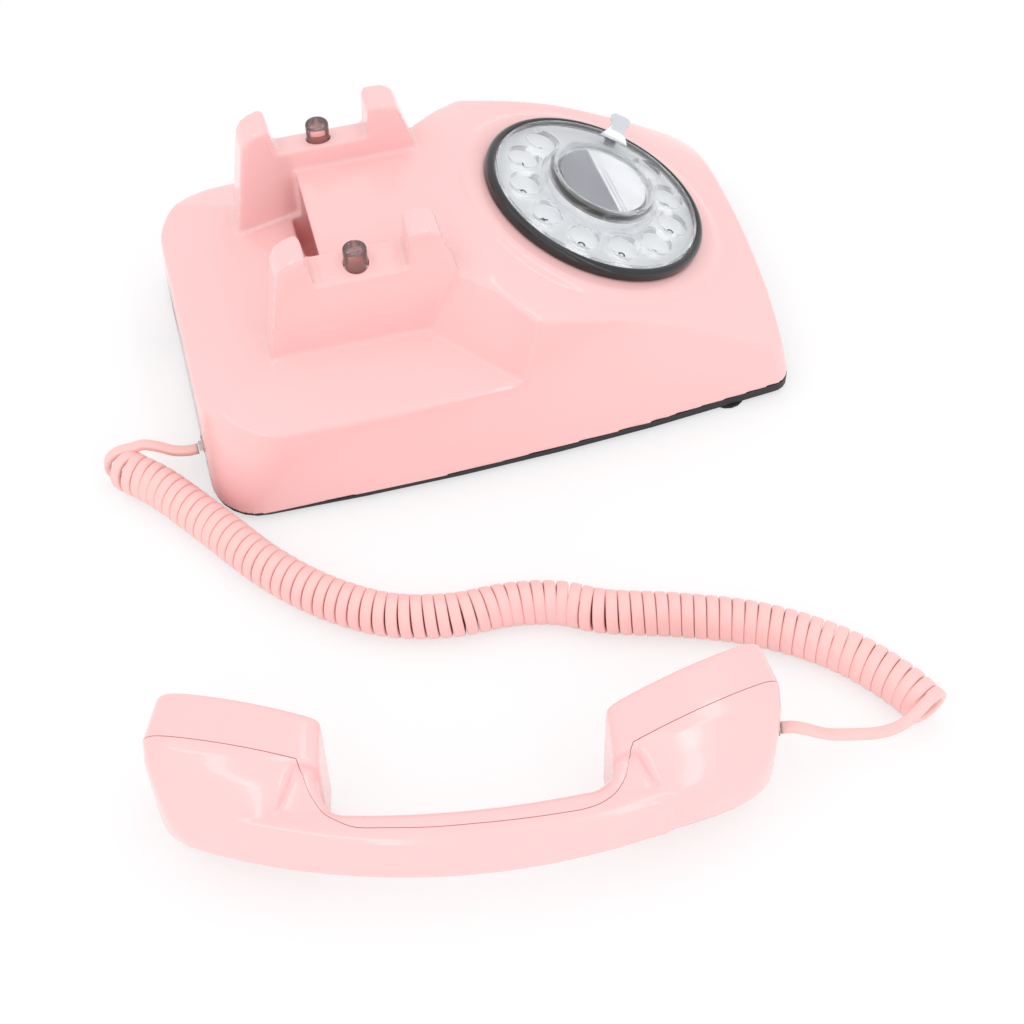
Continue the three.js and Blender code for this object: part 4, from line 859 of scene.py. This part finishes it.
def addWheel():
    d, t, rim = dial, dial["wheelThickness"], dial["wheelRadius"]
    radii = [rim - 2.0 - 0.9 * i for i in range(18)]
    radii += [25.5, 25, 24.6, 24.2, 23.8, 23.4, 23, 22.7]
    upper = [(r, wheelTop(r)) for r in radii]
    lower = [(r, wheelTop(r) - t) for r in reversed(radii)]
    ringOuter = d["ringRadius"] + 0.6
    ringInner, floor = ringOuter - d["ringWidth"], d["domeRise"] - 1.4
    dome, top, bore = d["domeRise"], d["domeRise"] + d["ringRise"], d["shaftRadius"] + gap
    profile = [(rim, -t + 0.5), (rim, -0.5), (rim - 0.15, -0.15), (rim - 0.5, 0)] + upper
    profile += [(ringOuter + 0.1, dome + 0.1), (ringOuter, dome + 0.4), (ringOuter - 0.2, top - 0.15),
                (ringOuter - 0.5, top), (ringInner + 0.5, top), (ringInner + 0.2, top - 0.15),
                (ringInner, top - 0.5), (ringInner, floor), (bore, floor), (bore, floor - t)] + lower
    profile += [(rim - 0.8, -t)]
    wheel = newObject("finger_wheel_clear", *lathe(profile, 180))
    for i in range(d["holeCount"]):
        a = radians(d["firstHole"] + i * d["holePitch"])
        at = movedTo(d["holeCircle"] * cos(a), d["holeCircle"] * sin(a))
        r, high = d["holeRadius"], wheelTop(d["holeCircle"]) + 0.25
        cut = [(0.001, -8), (r, -8), (r, high - 1.1), (r + 0.15, high - 0.75), (r + 0.55, high - 0.3),
               (r + 1.2, high + 0.1), (r + 2.4, high + 3), (0.001, high + 3)]
        shaped(wheel, "finger_hole", lathe(cut, 64, at))
    for vertex in wheel.data.vertices:
        vertex.co = toFrame(placedOnDial(vertex.co / mm + origin))
    smoothShaded(wheel, 28)
    dress(wheel, looks["clear"], "wheel", "clear_plastic", "finger_wheel")
    r, low, high = d["ringRadius"] - 0.6, d["plateTop"] + gap, d["domeRise"] - 1.4 - t - gap
    skirt = [(r - 1, low), (r, low), (r, high), (r - 1, high)]
    hub = dialPiece("hub_skirt", skirt, 120, 40)
    dress(hub, looks["silver"], "wheel", "silver_plate")


def addDigits():
    points, faces = [], []
    for i, mark in enumerate("1234567890"):
        a = radians(dial["firstHole"] + i * dial["holePitch"])
        x, y = dial["holeCircle"] * cos(a), dial["holeCircle"] * sin(a)
        data = bpy.data.curves.new("digit", "FONT")
        data.body, data.size, data.align_x, data.align_y = mark, dial["digitHeight"], "CENTER", "CENTER"
        data.extrude = dial["digitDepth"]
        obj = bpy.data.objects.new("digit", data)
        collection.objects.link(obj)
        mesh = evaluated(obj)
        bpy.data.objects.remove(obj)
        start, z = len(points), dial["plateTop"] + 0.08
        points += [placedOnDial((v.co.x + x, v.co.y + y, v.co.z + z)) for v in mesh.vertices]
        faces += [tuple(start + k for k in p.vertices) for p in mesh.polygons]
        bpy.data.meshes.remove(mesh)
    dress(newObject("dial_digits", points, faces), looks["digits"], "base", "black_plastic")


def addStop():
    # each spot: radius, height and half width, from the round head to the wide foot
    line = [(48.7, 6.0, 1.0), (48.2, 6.3, 2.1), (47.3, 6.6, 3.3), (46.0, 6.8, 4.2), (44.3, 6.9, 4.6),
            (42.6, 6.9, 4.2), (41.2, 6.7, 3.3), (39.8, 6.3, 2.9), (38.3, 5.6, 3.3), (36.9, 4.6, 4.3),
            (35.7, 3.5, 5.5), (34.9, 2.6, 6.2)]
    c, s = cos(radians(dial["stopAngle"])), sin(radians(dial["stopAngle"]))

    def turned(x, y, z):
        return placedOnDial((x * c - y * s, x * s + y * c, z))
    rings, thick = [], 1.3
    for i, (r, z, w) in enumerate(line):
        r0, z0 = line[max(i - 1, 0)][:2]
        r2, z2 = line[min(i + 1, len(line) - 1)][:2]
        run = Vector((r2 - r0, z2 - z0)).normalized()
        nr, nz = -run.y * thick / 2, run.x * thick / 2
        ring = [(r + nr, -w, z + nz), (r - nr, -w, z - nz), (r - nr, w, z - nz), (r + nr, w, z + nz)]
        rings.append([turned(*spot) for spot in ring])
    stop = newObject("stop_blade", *loft(rings))
    rounded(stop, 0.3, 40)
    step = stop.modifiers.new("fine", "SUBSURF")
    step.levels = step.render_levels = 2
    applied(stop)
    smoothShaded(stop)
    dress(stop, looks["chrome"], "base", "chrome", "finger_stop")
    foot = [(44.4, -2.6, -0.5), (47.9, -2.6, -0.5), (47.9, 2.6, -0.5), (44.4, 2.6, -0.5)]
    head = [(42.9, -2.2, 6.5), (47.2, -2.2, 6.3), (47.2, 2.2, 6.3), (42.9, 2.2, 6.5)]
    post = rounded(newObject("stop_post", *loft([[turned(*p) for p in ring] for ring in (foot, head)])), 0.5)
    dress(smoothShaded(post, 35), looks["black"], "base", "black_plastic")


def addCard():
    d = dial
    floor = d["domeRise"] - 1.4
    low = floor + gap
    r = d["cardRadius"]
    card = [(0.001, low), (r, low), (r, low + d["cardThickness"]), (0.001, low + d["cardThickness"])]
    disc = dialPiece("two_tone_card", card, 96, 30)
    dress(disc, cardLook(), "wheel", "card", "centre_card")
    low = floor + 2 * gap + d["cardThickness"]
    high, r = low + d["coverThickness"], r + 0.4
    cover = [(0.001, low), (r, low), (r, high - 0.3), (r - 0.1, high - 0.1), (r - 0.3, high), (0.001, high)]
    glass = dialPiece("card_window", cover, 96, 30)
    dress(glass, looks["window"], "wheel", "clear_plastic", "card_cover")


addBezel()
addWheel()
addDigits()
addStop()
addCard()
note("dial done")

# handset
hand = {
    "x": -204.5, "y": 51, "turn": -11.06, "middleZ": 28.6, "halfHeight": 28.3, "spineHalf": 13.5,
    "spineEdge": 5, "spineRound": 7.5, "backRadius": 240, "backX": -57.2, "backMiddleY": 6, "gripX": -42.2,
    "gripRadius": 330, "gripSlope": 0.036, "wallY": 49.5, "gripFillet": 10, "rootX": -22, "wall": 2.8,
    "capEdge": 2.4, "faceFlare": 0.6, "arch": 0.11, "cornerInset": 7.8, "voxel": 0.72, "soundHole": 1.6,
}
earCup = {
    "tilt": 15.7, "x": -4.6, "y": 75.3, "side": 1, "length": 58.6,
    "innerRail": [(-30.6, 48.3), (-29.6, 56.2), (-36.9, 60.4), (-43.2, 65), (-45.2, 71), (-46, 76)],
    "outerRail": [(-14.4, 108.6), (-21, 107.8), (-29.6, 104.8), (-36.6, 100.8), (-40, 97), (-41.8, 92.5)],
    "heights": [1, 0.98, 0.8, 0.54, 0.31, 0.14],
}
mouthCup = {
    "tilt": 23.6, "x": -2.6, "y": -75.7, "side": -1, "length": 61.2,
    "innerRail": [(-33.3, 49.2), (-31.8, 57.3), (-38.2, 61.6), (-43.6, 66.4), (-44.8, 72), (-45.2, 77)],
    "outerRail": [(-7.2, 109.3), (-15.6, 109), (-25.4, 106.4), (-32.6, 102.4), (-36, 98.6), (-38, 93.5)],
    "heights": [1, 0.97, 0.75, 0.48, 0.27, 0.12],
}
innerSquareness = [18, 18, 14, 9, 7, 6]
outerSquareness = [9, 8, 5, 3, 2.5, 2.2]
ramp = [(-29, 49.5, 62, 22.6), (-31, 49.4, 62.3, 21), (-34.5, 48.8, 63, 18.2), (-38.5, 47.3, 65, 15.4),
        (-42.5, 44.8, 67, 13.2), (-46, 41.4, 69, 11.6)]
partingGrip = [
    (-31.5, 54.3), (-35.1, 53), (-38.8, 50.8), (-43.2, 47.2), (-46.1, 42.8), (-48.4, 37.9), (-49.4, 27.6),
    (-50.2, 12), (-49.8, -6), (-49.2, -18), (-48.1, -30.5), (-46.9, -39.6), (-44.5, -46.1), (-40.6, -50.9),
    (-36.6, -53.8), (-32.8, -54.9),
]
jack = {"x": -12.3, "y": -108}


def onTable(point):
    a = radians(hand["turn"])
    x, y, z = point
    return (hand["x"] + x * cos(a) - y * sin(a), hand["y"] + x * sin(a) + y * cos(a), z)


def cupFrame(cup):
    t = radians(cup["tilt"])
    along, normal = (sin(t), cup["side"] * cos(t), 0), (cos(t), -cup["side"] * sin(t), 0)
    return Vector(along), Vector(normal), Vector((cup["x"], cup["y"], 0))


def cupRing(inner, outer, half, fine, innerPower, outerPower):
    centre, along = (inner + outer) / 2, outer - inner
    reach = along.length / 2
    along.normalize()

    def height(t, power):
        return half * (1 - hand["arch"] * t * t) * (1 - t ** power) ** (1 / power)
    shares = [sin(pi / 2 * (k + 0.5) / fine) for k in range(fine)]
    outward = [(t, height(t, outerPower)) for t in reversed(shares)]
    inward = [(-t, height(t, innerPower)) for t in shares]
    upper = outward + [(0, half)] + inward
    spots = [(1, 0)] + upper + [(-1, 0)] + [(t, -w) for t, w in reversed(upper)]
    return [Vector((centre.x + along.x * t * reach, centre.y + along.y * t * reach, hand["middleZ"] + w))
            for t, w in spots]


def between(values, t):
    i = min(int(t), len(values) - 2)
    f = t - i
    p1, p2 = values[i], values[i + 1]
    p0 = values[i - 1] if i > 1 else [2 * a - b for a, b in zip(p1, p2)]
    p3 = values[i + 2] if i + 2 < len(values) else [2 * b - a for a, b in zip(p1, p2)]
    if i == 0:
        return [a + (b - a) * f for a, b in zip(p1, p2)]
    return [0.5 * (2 * b + (c - a) * f + (2 * a - 5 * b + 4 * c - d) * f * f
                   + (3 * b - a - 3 * c + d) * f ** 3) for a, b, c, d in zip(p0, p1, p2, p3)]


def cupMesh(cup, inset, fine):
    along, normal, middle = cupFrame(cup)
    half, tall, edge = cup["length"] / 2, hand["halfHeight"], hand["capEdge"]
    face = inset + hand["faceFlare"] if inset > 0 else 0

    def spot(u, depth):
        return middle + along * u - normal * depth

    def ring(inner, outer, high, squareIn, squareOut):
        pull = (outer - inner).normalized() * inset
        return cupRing(inner + pull, outer - pull, high - inset, fine, squareIn, squareOut)
    rings = []
    for k in range(5):
        a = pi / 2 * k / 4
        back, down = edge * (1 - sin(a)), edge * (1 - cos(a))
        flare = hand["faceFlare"] * k / 4
        inner, outer = spot(-half + back, face + down), spot(half - back + flare, face + down)
        rings.append(ring(inner, outer, tall - back, innerSquareness[0], outerSquareness[0]))
    stations = [(*inner, *outer, share, *powers) for inner, outer, share, *powers in
                zip(cup["innerRail"], cup["outerRail"], cup["heights"], innerSquareness, outerSquareness)]
    steps = 4 if fine > 8 else 1
    for k in range((len(stations) - 1) * steps + 1):
        ix, iy, ox, oy, share, squareIn, squareOut = between(stations, k / steps)
        if tall * share > 3 * inset:
            ends = [Vector((x + inset, cup["side"] * y, 0)) for x, y in ((ix, iy), (ox, oy))]
            rings.append(ring(*ends, tall * share, squareIn, squareOut))
    return loft(rings)


def rampMesh(side, fine):
    rings = []
    for k in range((len(ramp) - 1) * 3 + 1):
        x, inner, outer, half = between(ramp, k / 3)
        rings.append(cupRing(Vector((x, side * inner, 0)), Vector((x, side * outer, 0)), half, fine, 7, 7))
    return loft(rings)


def spineOutline(inset, fine):
    h = hand
    radius, cx, cy = h["backRadius"] - inset, h["backX"] + h["backRadius"], h["backMiddleY"]
    wallY, f = h["wallY"] + inset, h["gripFillet"] + inset
    endY = wallY - f

    def gripAt(y):
        return h["gripX"] - inset + y * y / (2 * h["gripRadius"]) - h["gripSlope"] * y
    reach = degrees(asin((88 - inset) / radius))
    back = arc(cx, cy, radius, 180 + reach, 180 - reach, 4 * fine)
    ear = arc(gripAt(endY) + f, endY, f, 90, 180, fine)
    mouth = arc(gripAt(-endY) + f, -endY, f, 180, 270, fine)
    grip = [(gripAt(endY * (1 - 2 * k / fine)), endY * (1 - 2 * k / fine)) for k in range(1, fine)]
    root = h["rootX"] - inset
    ends = [(root, 92 - inset), (root, wallY)], [(root, -wallY), (root, -90 + inset)]
    return back + ends[0] + ear + grip + mouth + ends[1]


def spineMesh(inset, fine):
    h = hand
    straight, size, depth = h["spineHalf"] - h["spineRound"], h["spineEdge"] - inset, h["spineRound"] - inset
    sides = []
    steps = fine + 1
    for i in range(steps + 1):
        a = pi / 2 * i / steps
        sides.append((h["spineEdge"] - size * cos(a), straight + depth * sin(a)))
    rings = []
    for back, z in [(b, -z) for b, z in reversed(sides)] + sides:
        rings.append([(x, y, h["middleZ"] + z) for x, y in spineOutline(back, fine)])
    return loft(rings)


def handMass(name, inset, fine):
    mass = newObject(name, *spineMesh(inset, fine))
    for cup in (earCup, mouthCup):
        shaped(mass, "cup", cupMesh(cup, inset, fine), "UNION")
        if inset == 0:
            shaped(mass, "ramp", rampMesh(cup["side"], fine), "UNION")
    return mass


def partingOutline(shift):
    def cupLine(cup):
        (ix, iy), (ox, oy) = cup["innerRail"][0], cup["outerRail"][0]
        inner, outer = Vector((ix, cup["side"] * iy)), Vector((ox, cup["side"] * oy))
        along = (outer - inner).normalized()
        towardsFace = Vector((along.y, -along.x)) * cup["side"] * shift
        past = (outer - inner).length + 12
        return [tuple(inner + along * u + towardsFace) for u in (hand["cornerInset"], past)]
    grip = [(p.x, p.y) for p in centripetal(partingGrip, 0.6)]
    grip = [(x + shift, y - copysign(shift if abs(y) > 44 else 0, y)) for x, y in grip]
    return cupLine(earCup)[::-1] + grip + cupLine(mouthCup)


def frontRegion(shift):
    line = partingOutline(shift)
    return newObject("front_region", *prism(line + [(60, line[-1][1]), (60, line[0][1])], "z", -10, 80))


def addHandset():
    whole = handMass("handset", 0, 16)
    remeshed(whole, hand["voxel"] * mm)
    softened(whole, 2)
    combine(whole, handMass("handset_hollow", hand["wall"] + 0.2, 4))
    w, h = (sockets[0][k] / 2 + sleeveWall + gap for k in ("width", "height"))
    x, y, z = jack["x"], jack["y"], hand["middleZ"]
    shaped(whole, "jack_opening", boxMesh(x - w, x + w, y - 12, y + 12, z - h, z + h))
    r = hand["soundHole"]
    bore = [(0.001, -5), (r, -5), (r, 4), (0.001, 4)]
    around = [radians(a) for a in range(0, 360, 60)]
    for cup, spacing in ((earCup, 8), (mouthCup, 9)):
        along, normal, middle = cupFrame(cup)
        turn = Vector((0, 0, 1)).rotation_difference(normal).to_matrix()
        for u, v in [(0, 0)] + [(spacing * cos(a), spacing * sin(a)) for a in around]:
            spot = middle + along * u + Vector((0, 0, z + v))
            shaped(whole, "sound_hole", lathe(bore, 24, lambda p: spot + turn @ Vector(p)))
    back = whole.copy()
    back.data = whole.data.copy()
    collection.objects.link(back)
    combine(whole, frontRegion(gap / 2), "INTERSECT")
    combine(back, frontRegion(-gap / 2))
    for obj, part in ((whole, "front"), (back, "back")):
        obj.name = f"handset_{part}"
        for vertex in obj.data.vertices:
            vertex.co = toFrame(onTable(vertex.co / mm + origin))
        smoothShaded(obj, 35)
        dress(obj, looks["pinkShell"], "handset", "pink_shell", f"handset_{part}_shell")


addHandset()
note("handset done")


# hook plungers, feet and small pieces
def addPlungers():
    r, top = plunger["radius"], plunger["topZ"]
    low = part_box("hook_plunger_left")[0].z / mm
    profile = [(0.001, low), (r, low), (r, top - 0.6), (r - 0.12, top - 0.28), (r - 0.35, top - 0.08),
               (r - 0.7, top), (r - 1.1, top - 0.05), (r - 1.4, top - 0.25), (0.001, top - 0.35)]
    for name, side in (("left", -1), ("right", 1)):
        x, y = side * plunger["x"], plunger["y"]
        peg = newObject(f"peg_{name}", *lathe(profile, 72, movedTo(x, y)))
        shaped(peg, "flange", boxMesh(x - 3.9, x + 3.9, y - 7, y + 7, low, low + 2.4), "UNION")
        smoothShaded(peg, 35)
        dress(peg, looks["peg"], f"plunger_{name}", "smoke_clear", f"hook_plunger_{name}")


addPlungers()

corners = [f"{end}_{side}" for end in ("front", "rear") for side in ("right", "left")]
carried = {
    "baseBlack": ["base_plate", "cord_socket", "line_socket", "ringer_sounder", "hook_switch",
                  "receiver_capsule", "transmitter_capsule", "handset_socket"]
    + [f"board_post_{i}" for i in range(1, 5)],
    "rubber": [f"foot_{c}" for c in corners],
    "steel": [f"base_screw_{c}" for c in corners]
    + ["ballast_weight", "hook_pivot_pin", "hook_lever", "hook_frame", "hook_spring", "dial_shaft"],
    "board": ["circuit_board"],
    "silver": ["number_plate", "dial_housing"],
    "brass": ["dial_bush"],
    "plugClear": ["cord_plug_handset", "cord_plug_base"],
    "mechanism": ["dial_cam"],
}
for look, nodes in carried.items():
    for node in nodes:
        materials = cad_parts[node].data.materials
        materials.clear()
        materials.append(looks[look])


# stage: lamp places are metres in the frame; two strips hang overhead and two posts stand behind the camera
overhead = {"up": "X", "width": 0.15, "length": 2.0, "power": 2.0}
upright = {"up": "Y", "width": 0.15, "length": 1.3, "power": 1.4}
lamps = [
    {"name": "left_strip", "spot": (-0.45, 0.65, 1.25), "aim": (-0.45, 0.1, 0.04), **overhead},
    {"name": "right_strip", "spot": (-0.45, -0.43, 1.25), "aim": (-0.45, 0.1, 0.04), **overhead},
    {"name": "left_post", "spot": (-1.6, 0.64, 0.8), "aim": (-0.1, 0.3, 0.04), **upright},
    {"name": "right_post", "spot": (-1.6, -0.42, 0.8), "aim": (-0.1, -0.1, 0.04), **upright},
]


def addLamps():
    for lamp in lamps:
        data = bpy.data.lights.new(lamp["name"], "AREA")
        data.shape, data.energy = "RECTANGLE", lamp["power"]
        data.size, data.size_y = lamp["width"], lamp["length"]
        obj = bpy.data.objects.new(lamp["name"], data)
        spot = Vector(lamp["spot"])
        turn = (Vector(lamp["aim"]) - spot).to_track_quat("-Z", lamp["up"]).to_matrix().to_4x4()
        obj.matrix_world = Matrix.Translation(spot) @ turn
        collection.objects.link(obj)


def addFloor():
    reach, z = 3, -0.0002
    corners = [(-reach, -reach, z), (reach, -reach, z), (reach, reach, z), (-reach, reach, z)]
    floor = newObject("floor", corners, [(0, 1, 2, 3)], convert=False)
    s = Shade("floor_white")
    tone = s.mix(s.noise("floor") * 0.03, (0.96, 0.96, 0.96, 1), (0.9, 0.9, 0.9, 1))
    s.finish(**{"Base Color": tone, "Roughness": 0.9, "Specular IOR Level": 0.0})
    end = s.tree.nodes["Material Output"].inputs["Surface"]
    lit = Wire(s, end.links[0].from_socket)
    white = s.node("Emission", {}, Strength=1.0)
    # part of the shadow stays when the camera sees the floor
    blend = s.node("MixShader", {}, s.node("LightPath") * 0.6, lit, white)
    s.tree.links.new(blend.socket, end)
    floor.data.materials.append(s.material)


def addWorld():
    world = bpy.data.worlds.new("studio")
    scene.world = world
    world.use_nodes = True
    tree = world.node_tree
    tree.nodes.clear()
    seen, mix, end = (tree.nodes.new(f"ShaderNode{k}") for k in ("LightPath", "MixShader", "OutputWorld"))
    soft, white = (tree.nodes.new("ShaderNodeBackground") for _ in range(2))
    soft.inputs["Color"].default_value = (0.97, 0.98, 1.0, 1)
    soft.inputs["Strength"].default_value = 0.98
    white.inputs["Strength"].default_value = 1.0
    for i, source in enumerate((seen.outputs["Is Camera Ray"], soft.outputs[0], white.outputs[0])):
        tree.links.new(source, mix.inputs[i])
    tree.links.new(mix.outputs[0], end.inputs["Surface"])


addFloor()
addWorld()
addLamps()
scene.view_settings.view_transform = "Standard"
